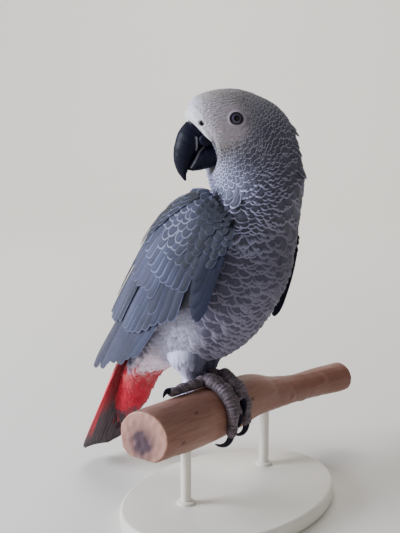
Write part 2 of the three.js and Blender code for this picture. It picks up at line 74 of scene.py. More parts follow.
# Rings of the head: crown line and throat line as (forward, up) in the head's upright plane,
# and the half-width.
HEAD_ROWS = np.array([
    (44.5, 50.5, 25, 26.5, 10.5),
    (45.5, 56.5, 26.5, 23.5, 14.5),
    (40.5, 64.5, 28.5, 20.5, 17.5),
    (29, 68.7, 31, 17.5, 19.5),
    (14, 69.5, 31.5, 15, 20.5),
    (0, 65.5, 31, 12.5, 22),
    (-13, 58.5, 30.5, 10.5, 23.5),
    (-22, 47.5, 30, 8.5, 24.5),
    (-26, 35.5, 29, 6.5, 26),
    (-29, 23.5, 28, 4.5, 27.5),
    (-29.8, 10.5, 26.5, 2.5, 29.5),
])
# Rings of the trunk: back line and breast line as (y, z) in the plane x = 0, and the half-width.
TRUNK_ROWS = np.array([
    (20, 216.5, -45, 205, 36.5),
    (35.5, 206.5, -43, 184, 38.2),
    (50.5, 192, -40, 162.5, 37),
    (62.5, 174.5, -29, 141, 37.5),
    (71.5, 155, -15, 122, 35.5),
    (77, 134, 3, 107, 32),
    (80, 114, 23.5, 99, 25.5),
    (85, 98, 47, 92.5, 20.5),
    (95, 80, 69, 77, 16.5),
    (107, 56, 81, 54, 12),
    (110, 46, 91, 44, 8),
])
NECK_BASE = 10.5  # ring numbers at which the body's regions part
NAPE = 5.0
VENT = 17.0
BODY_END = 21.0
COAT_END = 19.9  # the ring where the last feathers under the tail are rooted

# Each wrist's place, the wing's turn, and how far the primaries are drawn in.
WINGS = {
    "right": {"y": -26.5, "z": 207.5, "turn": math.radians(-55.6), "drawn_in": 0},
    "left": {"y": -22, "z": 197.5, "turn": math.radians(-61.5), "drawn_in": 14},
}
# Folded wing: along, low edge, high edge, reach from the middle plane, thickness, dome.
WING_ROWS = np.array([
    (2, 1, 26, 37, 6, 44),
    (12, -10.5, 39, 42, 11, 46),
    (30, -17, 47, 44.5, 12, 49),
    (46, -20.5, 53, 45, 12, 52),
    (65, -20.5, 57, 44.5, 11, 53),
    (73.5, -10, 58, 43.5, 10, 53),
    (94, -5, 60, 41.5, 8, 53),
    (113, 3, 58.5, 39, 6, 53),
    (137, 8.5, 55, 34.5, 4, 53),
    (160, 8.5, 50, 30, 2.6, 53),
    (183, 8.5, 46, 25.5, 2, 53),
])
WING_ARCH = {"middle": 9.5, "below": 75, "least": 0.06}
WING_END = (132, 183)  # where the wing's low and high edges end

# Tail, from its root down: y, z and half-width.
TAIL_ROWS = np.array([
    (78, 124, 12),
    (97, 91, 16),
    (113, 54, 20.5),
    (134.5, 10, 24),
])
TAIL = {"count": 12, "last_row": 47, "shorter": 9, "droop": 6, "lean": 2.5}
TAIL_FAN = (-0.84, 0.73)  # the outermost feathers' places across
TAIL_UNDER = np.array([0, -0.84, -0.52])  # the way down from the tail's face

# Thigh, from the top down: out from the middle plane, y, z, half across, half from front to back.
THIGH_ROWS = np.array([
    (14, 22, 128, 9, 12),
    (14.5, 24.5, 115, 12.5, 16),
    (14.5, 26.5, 104, 12.5, 15),
    (12.8, 26.5, 96, 9.2, 10.5),
    (11, 24.5, 89.5, 5.5, 6.5),
])
THIGH_SHIFT = {"right": (0, 0), "left": (4, 3)}  # inward, back

EYE = {"forward": 20.3, "up": 51, "out": 15.6, "radius": 5}
EYE_CLEAR = {"near": 12, "root": 5.3, "tip": 4.5, "length": 3.6}  # the bare ring round an eye
NOSTRIL = (40.6, 49.2)
# Bill, from the base to the tip: top line and low line as (forward, up), and the half-width.
UPPER_BILL_ROWS = np.array([
    (45.9, 49.9, 33.5, 36.6, 8.4),
    (50.4, 44.8, 37.3, 34.4, 8.3),
    (53.2, 37.8, 40.4, 30.6, 7.7),
    (54.4, 30.2, 42.6, 26.4, 6.6),
    (53.6, 23.4, 44.6, 21.6, 4.9),
    (51, 17.8, 46.2, 17.6, 2.7),
    (47.4, 13.4, 46.2, 13.6, 0.6),
])
LOWER_BILL_ROWS = np.array([
    (26, 36.5, 22.5, 25.5, 10.8),
    (31, 37.3, 26.8, 23, 11.6),
    (36.5, 35.8, 32, 21, 10.4),
    (41, 31.8, 38, 19.8, 8.2),
    (43.6, 26.4, 42.6, 19.5, 6.2),
    (45.6, 21.4, 45.4, 20.2, 3.4),
])

# Perch, along x: x, y, z and radius.
PERCH_ROWS = np.array([
    (-75.5, 9, 68.8, 17.4),
    (-47, 9, 67.7, 18.3),
    (-19, 9, 67.2, 18.3),
    (11, 9, 67.4, 17.2),
    (35, 9, 68.2, 15.4),
    (63, 10, 62.8, 12.2),
    (91, 11, 58.7, 10.6),
    (121, 11, 56.2, 11.2),
    (152, 9, 53.7, 12),
])
PERCH_FLAT = {"angle": math.radians(-152), "share": 0.8, "least": 0.1}
PERCH_SLANT = 0.22  # how the split end leans, as x over y
# Knots and hollows of the perch: x, angle, width and height.
PERCH_KNOTS = (
    (22, 30, 4.5, 0.8), (74, 100, 3.2, 0.9), (118, 60, 4, 0.8), (-58, 140, 5, -0.5), (95, 150, 3, 0.7),
)

# A toe's x, angle round the perch and radius, each at its root and at its end, and its claw's
# length.
Toe = namedtuple("Toe", "name x angle radius claw")
FEET = {
    "right": (-10.5, (
        Toe("front_outer", (-13, -13.8), (6, 112), (4.1, 3.5), 12),
        Toe("front_inner", (-7.5, -8), (8, 80), (3.7, 3.0), 9),
        Toe("back_outer", (-13, -43), (-12, -17), (3.9, 3.0), 8),
        Toe("back_inner", (-9, -9), (-14, -82), (3.7, 3.0), 9),
    )),
    "left": (5, (
        Toe("front_outer", (5.5, 1.8), (6, 102), (3.9, 3.2), 10),
        Toe("front_inner", (1.5, -0.6), (8, 58), (3.6, 3.1), 9),
        Toe("back_outer", (7, 26), (-14, -48), (3.8, 3.0), 8.5),
        Toe("back_inner", (3.5, 2), (-16, -78), (3.7, 3.0), 9),
    )),
}
PLATE = 2.6  # length of a plate on a toe
LEG = {"y": 20.5, "z": 91, "radius": 4, "ball": 5}
TOUCH = 0.3  # room between pieces that touch
VOXEL = {"skin": 1.25, "foot": 0.34}

BASE = {"half_length": 88, "half_width": 62, "thickness": 11, "round": 2.5}
ROD = {"radius": 3.5, "sunk": 6, "x": (-36, 52)}

# Floor, in millimetres; camera and lights, in metres: each light's setting, place, aim, width
# and colour.
LOOK = np.array([0.766, 0.643])  # the way that the camera looks, seen from above
FLOOR = {"near": -2500, "bend": 1500, "radius": 900, "wall": (1000, 3500), "half": 3000}
CAMERA = {"place": (-0.4947, -0.3881, 0.2898), "way": (0.7520, 0.6310, -0.1908)}
LIGHTS = (
    ("key", (-1.05, 0.95, 0.72), (0, 0, 0.16), 0.9, (0.81, 0.87, 1.0)),
    ("fill", (-0.2, -1.5, 0.7), (0, 0, 0.15), 1.2, (1.0, 0.97, 0.93)),
    ("wash", (0.9, 0.75, 1.9), (1.7, 1.4, 0.4), 1.5, (1.0, 0.98, 0.95)),
)


# ---- settings

def colour_setting(name, about, code):
    """A colour that a user can change, from a six-figure code."""
    return bpy.props.FloatVectorProperty(
        name=name, description=about, subtype="COLOR", size=3, min=0, max=1, default=tone(code)
    )


def number_setting(name, about, default, **more):
    """A number that a user can change."""
    return bpy.props.FloatProperty(name=name, description=about, default=default, **more)


class ParrotCoatSettings(bpy.types.PropertyGroup):
    """Sizes of the coat."""

    feather_size: number_setting("Feather size", "Size of the body feathers against life", 1.0)
    lie_spread: number_setting(
        "Lie spread", "How far feathers turn from the lie of the coat", math.radians(4), subtype="ANGLE"
    )
    ruffle: number_setting("Ruffle", "How unevenly feather tips stand off the coat", 0.16)
    seed: bpy.props.IntProperty(name="Seed", description="Start of the random draws", default=7)


class ParrotColourSettings(bpy.types.PropertyGroup):
    """Colours of the bird, its perch and the stand."""

    face: colour_setting("Face", "Forehead and bare face", "dcd9de")
    grey: colour_setting("Grey", "Middles of the neck feathers", "525160")
    rim: colour_setting("Rim", "Edges of the neck feathers", "aeacbe")
    pale: colour_setting("Pale", "Thighs and vent", "d2cfe2")
    slate: colour_setting("Slate", "Wing feathers", "43475f")
    # Dusk: the front of the wing, partly its feathers' own darker tone and partly painted shade where it
    # turns from the window light.
    dusk: colour_setting("Dusk", "Dark feathers along the front of the wing", "131935")
    red: colour_setting("Red", "Tail feathers", "c90f33")
    maroon: colour_setting("Maroon", "Ends of the tail feathers", "483a41")
    horn: colour_setting("Horn", "Bill and claws", "0d0e1e")
    iris: colour_setting("Iris", "Ring round the pupil", "4b4558")
    scale: colour_setting("Scale", "Feet", "5a4e53")
    wood: colour_setting("Wood", "Perch", "92695a")
    heart: colour_setting("Heart", "Cut end of the perch", "c08e7c")
    paint: colour_setting("Paint", "Display stand", "e2ddd0")


class ParrotStageSettings(bpy.types.PropertyGroup):
    """Camera and lights."""

    lens: number_setting("Lens", "Focal length in millimetres", 65.65, unit="CAMERA")
    key: number_setting("Key", "Power of the window light", 52, unit="POWER")
    fill: number_setting("Fill", "Power of the fill light", 2, unit="POWER")
    wash: number_setting("Wash", "Power of the backdrop light", 45, unit="POWER")
    sky: number_setting("Sky", "Strength of the even light", 0.34)
    backdrop: colour_setting("Backdrop", "Floor and backdrop", "dedad2")


# ---- numbers and surfaces

def unit(vectors):
    """Each vector divided by its own length."""
    return vectors / np.maximum(np.linalg.norm(vectors, axis=-1, keepdims=True), 1e-12)


def ease(low, high, value):
    """0 up to low, 1 from high on, and 3t^2 - 2t^3 between them."""
    t = np.clip((value - low) / (high - low), 0, 1)
    return t * t * (3 - 2 * t)


def bell(*shares):
    """The bell curve of some shares: e to the power of minus the sum of their squares."""
    return np.exp(-sum(share**2 for share in shares))


def paired(*values):
    """Numbers and arrays brought to one shape."""
    return np.broadcast_arrays(*(np.asarray(value, float) for value in values))


def turns(count):
    """Angles spread evenly over one turn, as one row."""
    return np.linspace(0, TURN, count, endpoint=False)[None, :]


def gaps(places):
    """The distances between neighbours along the first axis."""
    return np.linalg.norm(np.diff(places, axis=0), axis=-1)


def cubic(a, b, c, d, t):
    """The Catmull-Rom cubic from b at t = 0 to c at t = 1, with a before and d after them."""
    bend = 2 * a - 5 * b + 4 * c - d
    return 0.5 * (2 * b + (c - a) * t + bend * t**2 + (3 * (b - c) + d - a) * t**3)


def spline(rows, at):
    """A table's row at a fractional row number, by the cubic through four rows."""
    rows = np.asarray(rows, float)
    last = len(rows) - 1
    row = np.clip(np.floor(at).astype(int), 0, last - 1)
    t = np.clip(at - row, 0, 1)[..., None]
    return cubic(*(rows[np.clip(row + k, 0, last)] for k in (-1, 0, 1, 2)), t)


def head_place(forward, up, out=0):
    """A place in the head's own axes: the neck's pivot, plus forward along the way that the
    bill points, plus out to the side, plus up."""
    forward, up, out = (value[..., None] for value in paired(forward, up, out))
    return NECK_PIVOT + forward * AHEAD + out * BESIDE + up * UP


def in_head(places):
    """The (forward, up, out) of places in the head's own axes."""
    moved = places - NECK_PIVOT
    return moved @ AHEAD, moved[..., 2], moved @ BESIDE


def body_rings():
    """Each ring's middle, half-way up its line, half-way out, and where its line starts."""
    crown, throat = (head_place(HEAD_ROWS[:, i], HEAD_ROWS[:, i + 1]) for i in (0, 2))
    flat = np.zeros(len(TRUNK_ROWS))
    back, breast = (np.stack([flat, TRUNK_ROWS[:, i], TRUNK_ROWS[:, i + 1]], -1) for i in (0, 2))
    top, low = np.concatenate([crown, back]), np.concatenate([throat, breast])
    out = np.concatenate([HEAD_ROWS[:, 4:] * BESIDE, TRUNK_ROWS[:, 4:] * np.array([1.0, 0, 0])])
    start = np.concatenate([np.full(len(HEAD_ROWS), NECK_TWIST), flat])
    return (top + low) / 2, (top - low) / 2, out, start


MIDDLE, RISE, REACH, START = body_rings()


def body_place(u, v):
    """The body's outline: on ring v at turn u, the ring's middle plus rise cos a plus reach
    sin a with a = 2 pi u - start, joined from ring to ring by the Catmull-Rom cubic. Past
    the last ring it goes on straight."""
    u, v = paired(u, v)
    last = len(MIDDLE) - 1
    inside = np.clip(v, 0, last)
    row = np.clip(np.floor(inside).astype(int), 0, last - 1)

    def ring(r):
        r = np.clip(r, 0, last)
        a = (TURN * u - START[r])[..., None]
        return MIDDLE[r] + RISE[r] * np.cos(a) + REACH[r] * np.sin(a)

    rings = [ring(row + k) for k in (-1, 0, 1, 2)]
    place = cubic(*rings, (inside - row)[..., None])
    return place + (v - inside)[..., None] * (rings[2] - rings[1])


def wing_numbers(along):
    """The wing table at a distance from the wrist, its straight pieces softened by the mean
    over 12 mm."""
    spread = np.asarray(along, float)[..., None] + np.linspace(-6, 6, 7)
    return [np.interp(spread, WING_ROWS[:, 0], WING_ROWS[:, i]).mean(-1) for i in range(1, 6)]


def wing_place(name):
    """A folded wing's outer face as a function of across and along, both in mm. Its distance
    from the middle plane is reach times the root of 1 - bend squared."""
    wing = WINGS[name]
    c, s = math.cos(wing["turn"]), math.sin(wing["turn"])

    def place(across, along):
        across, along = paired(across, along)
        _, _, reach, _, dome = wing_numbers(along)
        bow = across - WING_ARCH["middle"]
        bend = bow / np.where(bow > 0, dome, WING_ARCH["below"])
        out = reach * np.sqrt(np.maximum(1 - bend**2, WING_ARCH["least"]))
        y = wing["y"] + c * along - s * across
        z = wing["z"] + s * along + c * across
        return np.stack([SIDES[name] * out, y, z], -1)

    return place


def on_wing(name, places):
    """The (across, along) of places beside a folded wing."""
    wing = WINGS[name]
    c, s = math.cos(wing["turn"]), math.sin(wing["turn"])
    y, z = places[..., 1] - wing["y"], places[..., 2] - wing["z"]
    return c * z - s * y, c * y + s * z


def thigh_place(name):
    """A feathered thigh: at turn u and row v, an upright oval of half by depth."""
    inward, back = THIGH_SHIFT[name]

    def place(u, v):
        u, v = paired(u, v)
        out, y, z, half, depth = np.moveaxis(spline(THIGH_ROWS, v), -1, 0)
        beyond = v - np.clip(v, 0, len(THIGH_ROWS) - 1)
        x = SIDES[name] * (out - inward) + half * np.sin(TURN * u)
        return np.stack([x, y + back + depth * np.cos(TURN * u), z - 8 * beyond], -1)

    return place


def tail_place(fan, row):
    """The tail's upper face: fan runs from -1 to 1 across, row down the table, and the sides
    hang lower by the square of fan."""
    fan, row = paired(fan, row)
    y, z, half = np.moveaxis(spline(TAIL_ROWS, row), -1, 0)
    drop = (TAIL["droop"] * fan**2)[..., None]
    middle = np.stack([fan * half, y, z - TAIL["lean"] * fan], -1)
    return middle + TAIL_UNDER * drop


class Surface:
    """A surface of two parameters, with its slopes and its outward side."""

    def __init__(self, place, step, outward_at, outward):
        self.place = place
        self.step = step
        self.sign = 1.0
        if self.slopes(*outward_at)[2] @ outward < 0:
            self.sign = -1.0

    def slopes(self, u, v):
        """Both slopes by differences of nearby places, and the unit normal, their cross."""
        du, dv = self.step
        along_u = (self.place(u + du, v) - self.place(u - du, v)) / (2 * du)
        along_v = (self.place(u, v + dv) - self.place(u, v - dv)) / (2 * dv)
        return along_u, along_v, self.sign * unit(np.cross(along_u, along_v))


def carried(surface, u, v, move, steps=3):
    """Where straight walks over a surface end. Each walk is a vector cut in steps; each step
    is turned into the surface's plane where it starts, its length kept, and read as changes
    of u and v by the two slopes."""
    for _ in range(steps):
        slope_u, slope_v, normal = surface.slopes(u, v)
        reach = np.linalg.norm(move, axis=-1, keepdims=True)
        move = unit(move - (move * normal).sum(-1, keepdims=True) * normal) * reach
        e, f, g = (slope_u**2).sum(-1), (slope_u * slope_v).sum(-1), (slope_v**2).sum(-1)
        p, q = (move * slope_u).sum(-1), (move * slope_v).sum(-1)
        scale = steps * (e * g - f * f)
        u, v = u + (g * p - f * q) / scale, v + (e * q - f * p) / scale
    return u, v


BODY = Surface(body_place, (1e-3, 1e-2), (0.5, 13.0), (0, -1, 0))
TAIL_TOP = Surface(tail_place, (1e-2, 1e-2), (0.0, 2.0), (0, 1, 0))
WING_FACE = {
    name: Surface(wing_place(name), (0.5, 0.5), (10.0, 60.0), (side, 0, 0))
    for name, side in SIDES.items()
}
THIGH_FACE = {
    name: Surface(thigh_place(name), (1e-3, 1e-2), (0.5, 2.0), (0, -1, 0)) for name in SIDES
}


# ---- meshes

def linked(name, data):
    """An object of some data, in the scene."""
    made = bpy.data.objects.new(name, data)
    bpy.context.scene.collection.objects.link(made)
    return made


def new_object(name, shape):
    """A mesh object in the scene. Its shape is points in mm, and faces given as corner numbers
    and corner counts."""
    points, corners, sizes = shape
    mesh = bpy.data.meshes.new(name)
    mesh.vertices.add(len(points))
    mesh.vertices.foreach_set("co", (points * MM).astype(np.float32).ravel())
    mesh.loops.add(len(corners))
    mesh.loops.foreach_set("vertex_index", corners.astype(np.int32))
    mesh.polygons.add(len(sizes))
    starts = np.concatenate([[0], np.cumsum(sizes)[:-1]])
    mesh.polygons.foreach_set("loop_start", starts.astype(np.int32))
    mesh.update(calc_edges=True)
    return linked(name, mesh)


def new_piece(name, shape, material, replaced=(), sharp=55):
    """A finished piece, shaded smooth except where faces meet at more than the sharp angle."""
    if len(shape[2]) == 0:
        raise RuntimeError(name + " has no faces")
    piece = new_object(name, shape)
    piece.data.shade_smooth()
    piece.data.set_sharp_from_angle(angle=math.radians(sharp))
    piece.data.materials.append(material)
    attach(piece, "root")
    if replaced:
        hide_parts(*replaced)
    return piece


def read_all(items, key, width=1, kind=np.int32):
    """One value of all of a mesh's points, corners or faces, as an array."""
    values = np.empty(len(items) * width, kind)
    items.foreach_get(key, values)
    return values


def point_map(piece, name, values):
    """A UV map whose value at each corner is its point's value."""
    order = read_all(piece.data.loops, "vertex_index")
    layer = piece.data.uv_layers.new(name=name)
    layer.data.foreach_set("uv", values.astype(np.float32)[order].ravel())


def point_colour(piece, name, values):
    """A colour attribute on the points, with four numbers each."""
    layer = piece.data.attributes.new(name, "FLOAT_COLOR", "POINT")
    layer.data.foreach_set("color", values.astype(np.float32).ravel())


def point_number(piece, name, values):
    """A number attribute on the points."""
    layer = piece.data.attributes.new(name, "FLOAT", "POINT")
    layer.data.foreach_set("value", np.asarray(values, np.float32).ravel())


def grid_faces(rows, columns, wrap):
    """Quads of a grid of rows by columns, the columns closed on themselves where wrap is set.
    Their order goes along the columns first and then along the rows."""
    r = np.arange(rows - 1)[:, None]
    c = np.arange(columns if wrap else columns - 1)[None, :]
    a, b = r * columns + c, r * columns + (c + 1) % columns
    return np.stack([a, b, b + columns, a + columns], -1).reshape(-1, 4)


def closed_tube(rings):
    """Points and faces of a tube through rings shaped (rows, columns, 3), each end closed by
    a fan round its middle, with faces turned outwards."""
    rows, columns, _ = rings.shape
    points = np.concatenate([rings.reshape(-1, 3), rings[:1].mean(1), rings[-1:].mean(1)])
    quads = grid_faces(rows, columns, True)
    c = np.arange(columns)
    n = (c + 1) % columns
    top = (rows - 1) * columns
    first = np.stack([n, c, np.full(columns, rows * columns)], -1)
    last = np.stack([top + c, top + n, np.full(columns, rows * columns + 1)], -1)
    a, b, d = rings[:-1, :-1], rings[:-1, 1:], rings[1:, :-1]
    facing = (np.cross(b - a, d - a) * (a - rings.mean(1)[:-1, None])).sum()
    if facing < 0:
        quads, first, last = quads[:, ::-1], first[:, ::-1], last[:, ::-1]
    corners = np.concatenate([quads.ravel(), first.ravel(), last.ravel()])
    return points, corners, np.concatenate([np.full(len(quads), 4), np.full(2 * columns, 3)])


def closed_plate(outer, inner):
    """Points and faces of a plate between two grids of one shape, the outer one facing out
    when its columns, then rows, turn left round the outward way."""
    rows, columns, _ = outer.shape
    size = rows * columns

    def wall(a, b):
        return np.stack([a, b, b + size, a + size], -1)

    quads = grid_faces(rows, columns, False)
    left, head = np.arange(rows - 1) * columns, np.arange(columns - 1)
    right, foot = left + columns - 1, head + size - columns
    faces = np.concatenate([
        quads, quads[:, ::-1] + size, wall(left, left + columns), wall(right + columns, right),
        wall(head + 1, head), wall(foot, foot + 1),
    ])
    points = np.concatenate([outer.reshape(-1, 3), inner.reshape(-1, 3)])
    return points, faces.ravel(), np.full(len(faces), 4)


def merged(shapes):
    """Several shapes as one."""
    points, corners, sizes = zip(*shapes)
    offsets = np.cumsum([0, *map(len, points[:-1])])
    corners = [corner + offset for corner, offset in zip(corners, offsets)]
    return np.concatenate(points), np.concatenate(corners), np.concatenate(sizes)


def remeshed(name, shapes, voxel, smoothing):
    """One closed skin round several closed meshes: Blender's voxel remesh and then a few
    rounds of smoothing, taken as a finished shape."""
    rough = new_object(name, merged(shapes))
    voxels = rough.modifiers.new("Voxels", "REMESH")
    voxels.mode = "VOXEL"
    voxels.voxel_size = voxel * MM
    soft = rough.modifiers.new("Soft", "SMOOTH")
    soft.factor = 0.5
    soft.iterations = smoothing
    shown = rough.evaluated_get(bpy.context.evaluated_depsgraph_get())
    made = shown.to_mesh()
    points = read_all(made.vertices, "co", 3, np.float32).reshape(-1, 3) / MM
    corners, sizes = read_all(made.loops, "vertex_index"), read_all(made.polygons, "loop_total")
    shown.to_mesh_clear()
    mesh = rough.data
    bpy.data.objects.remove(rough)
    bpy.data.meshes.remove(mesh)
    return points, corners, sizes


# ---- feathers

# columns: places across, -1 to 1. rows: rows before the rounded tip and in it. tip: where the
# tip starts. root: width at the root. bulge: height of the middle over the edges as a share of
# half the width. curl: how the end turns in. fray: unevenness of the rim. tilt: slope across.
# plate: thickness of a vane with a full underside, 0 for a flat one.
Vane = namedtuple("Vane", "columns rows tip root bulge curl fray tilt plate")
PATCH = 0.003  # a feather's side on the coat's own map


def even_columns(count):
    """Evenly spread places across a vane."""
    return tuple(np.linspace(-1, 1, count))


def per_feather(value, count):
    """A number for each feather, from one for all or one each."""
    return np.broadcast_to(np.asarray(value, float), (count,))


class Feathers:
    """Feathers of one piece, gathered in batches and then made one mesh."""

    def __init__(self, seed):
        self.draw = np.random.default_rng(seed)
        self.shapes = []
        self.maps = {"OFBake": [], "Vane": []}
        self.colours = {"middle": [], "rim": []}

    def add(self, surface, u, v, length, half, vane, middle, rim, at, lie=0.0, low=-2.0, high=0.0,
            bend=0.0, patch=(PATCH, PATCH)):
        """Adds a feather for each (u, v) of its root on a surface. A point of the vane lies
        half x across and length y along in the surface's own plane at the root, turned by
        lie; it is carried over the surface, and raised along the normal from low at the root
        to high at the tip, plus a bow across. at and patch are its place and side on the
        piece's own map."""
        count = len(u)
        length, half, lie, low, high, bend = (
            per_feather(value, count)[:, None] for value in (length, half, lie, low, high, bend)
        )
        x, y, bow, side, corners, sizes = vane_pattern(vane)
        rough = self.draw.uniform(-1, 1, (count, len(x))) * vane.fray
        edge = (np.abs(bow) < 1e-6).astype(float)
        across = half * x * (1 + rough * edge) + bend * length * y**2
        down = length * (y + 0.5 * rough * edge * half / length * (y > 0.5))
        _, slope, normal = surface.slopes(u, v)
        forward = unit(slope)
        beside = unit(np.cross(forward, normal))
        c, s = np.cos(lie)[..., None], np.sin(lie)[..., None]
        ahead = c * forward[:, None] + s * beside[:, None]
        aside = c * beside[:, None] - s * forward[:, None]
        move = across[..., None] * aside + down[..., None] * ahead
        at_u, at_v = carried(surface, u[:, None] + 0 * across, v[:, None] + 0 * across, move)
        height = low + (high - low) * y**0.8 + half * vane.bulge * bow
        height = height - vane.tilt * x * half - vane.curl * length * np.maximum(y - 0.65, 0) ** 2
        height = height + vane.plate * side * np.sqrt(np.maximum(bow, 0))
        places = surface.place(at_u, at_v) + height[..., None] * surface.slopes(at_u, at_v)[2]
        starts = np.arange(count)[:, None] * len(x)
        self.shapes.append((places.reshape(-1, 3), (corners + starts).ravel(), np.tile(sizes, count)))
        spot = at[:, None] + np.stack([x / 2, y - 0.5], -1) * np.asarray(patch)
        self.maps["OFBake"].append(np.clip(spot, 0, 1).reshape(-1, 2))
        self.maps["Vane"].append(np.tile(np.stack([0.5 + 0.5 * x, y], -1), (count, 1)))
        self.colours["middle"].append(np.repeat(middle, len(x), 0))
        self.colours["rim"].append(np.repeat(rim, len(x), 0))

    def piece(self, name, material, slot, replaced=()):
        """Makes one piece of all that was added."""
        made = new_piece(name, merged(self.shapes), material, replaced)
        for key, values in self.maps.items():
            point_map(made, key, np.concatenate(values))
        for key, values in self.colours.items():
            point_colour(made, key, np.concatenate(values))


def vane_outline(vane):
    """The rows of a vane as (y, half-width): a root that widens as a sine, then a tip along a
    quarter ellipse."""
    straight, tip = vane.rows
    y = np.linspace(0, vane.tip, straight)
    width = vane.root + (1 - vane.root) * np.sin(0.5 * math.pi * y / vane.tip) ** 0.7
    angle = np.linspace(0, math.radians(80), tip + 1)[1:]
    y = np.concatenate([y, vane.tip + (1 - vane.tip) * np.sin(angle)])
    return y, np.concatenate([width, np.cos(angle)])


def vane_pattern(vane):
    """A vane's points as x, y, bow and side, with its faces: an upper grid over a flat or a
    full underside that shares the rim, and a polygon at each end."""
    xs = np.asarray(vane.columns, float)
    rows, width = vane_outline(vane)
    n, m = len(rows), len(xs)
    x = (width[:, None] * xs).ravel()
    y = np.repeat(rows, m)
    bow = np.tile(1 - xs**2, n)
    index = np.arange(n * m).reshape(n, m)
    top = np.stack([index[:-1, :-1], index[:-1, 1:], index[1:, 1:], index[1:, :-1]], -1)
    if vane.plate == 0:
        under = index[:, [0, -1]]
        side = np.ones(n * m)
    else:
        inner = n * m + np.arange(n * (m - 2)).reshape(n, m - 2)
        under = np.concatenate([index[:, :1], inner, index[:, -1:]], 1)
        x, y, bow = (
            np.concatenate([whole, whole.reshape(n, m)[:, 1:-1].ravel()]) for whole in (x, y, bow)
        )
        side = np.concatenate([np.ones(n * m), -np.ones(n * (m - 2))])
    low = np.stack([under[:-1, 1:], under[:-1, :-1], under[1:, :-1], under[1:, 1:]], -1)
    quads = np.concatenate([top.reshape(-1, 4), low.reshape(-1, 4)])
    root = np.concatenate([index[0, ::-1], under[0, 1:-1]])
    tip = np.concatenate([index[-1], under[-1, -2:0:-1]])
    corners = np.concatenate([quads.ravel(), root, tip])
    sizes = np.concatenate([np.full(len(quads), 4), [len(root), len(tip)]])
    return x, y, bow, side, corners, sizes


def coat_rows(surface, pitch, v_range, wide, fine=(361, 421)):
    """Roots of feathers in staggered rows. Along each line of constant u the rows lie a pitch
    apart; along a row the feathers lie wide pitches apart, every other row moved by half a
    place. pitch(u, v) is in mm. Returns u, v and the pitch of each root."""
    us, vs = np.linspace(0, 1, fine[0]), np.linspace(*v_range, fine[1])
    grid_u, grid_v = np.meshgrid(us, vs)
    step = gaps(surface.place(grid_u, grid_v)) / pitch(grid_u, grid_v)[1:]
    count = np.concatenate([np.zeros((1, len(us))), np.cumsum(step, 0)])
    found = []
    for row in range(int(count.max())):
        at = np.array([np.interp(row + 0.5, line, vs, right=np.nan) for line in count.T])
        there = np.isfinite(at)
        held = np.where(there, at, v_range[1])
        local = pitch(us, held) * wide(us, held)
        step = gaps(surface.place(us, held)) / (0.5 * (local[1:] + local[:-1]))
        total = np.concatenate([[0], np.cumsum(step * (there[1:] & there[:-1]))])
        places = int(round(total[-1]))
        if places < 1:
            continue
        wanted = (np.arange(places) + 0.5 * (row % 2)) * total[-1] / places
        row_u = np.interp(wanted, total, us)
        row_v = np.interp(row_u, us, at)
        good = np.isfinite(row_v)
        found.append((row_u[good], row_v[good]))
    u, v = (np.concatenate(part) for part in zip(*found))
    return u, v, pitch(u, v)


def by_row(stops, v):
    """A colour or number at row v, straight between stops of (row, value)."""
    rows = [stop[0] for stop in stops]
    values = np.array([np.atleast_1d(stop[1]) for stop in stops], float)
    out = np.stack([np.interp(v, rows, values[:, i]) for i in range(values.shape[1])], -1)
    return out[..., 0] if out.shape[-1] == 1 else out


def mixed(a, b, share):
    """a where the share is 0, b where it is 1, and straight between them."""
    share = np.asarray(share)[..., None]
    return np.asarray(a) * (1 - share) + np.asarray(b) * share


def four(colour, last):
    """Colours with a fourth number beside them, one for all or one each."""
    return np.concatenate([colour, per_feather(last, len(colour))[:, None]], 1)


def dimmed(colour, share):
    """A colour times a number."""
    return tuple(share * part for part in colour)


def tints(colours, *names):
    """Some of the colour settings as arrays."""
    return (np.array(getattr(colours, name)) for name in names)


# ---- materials

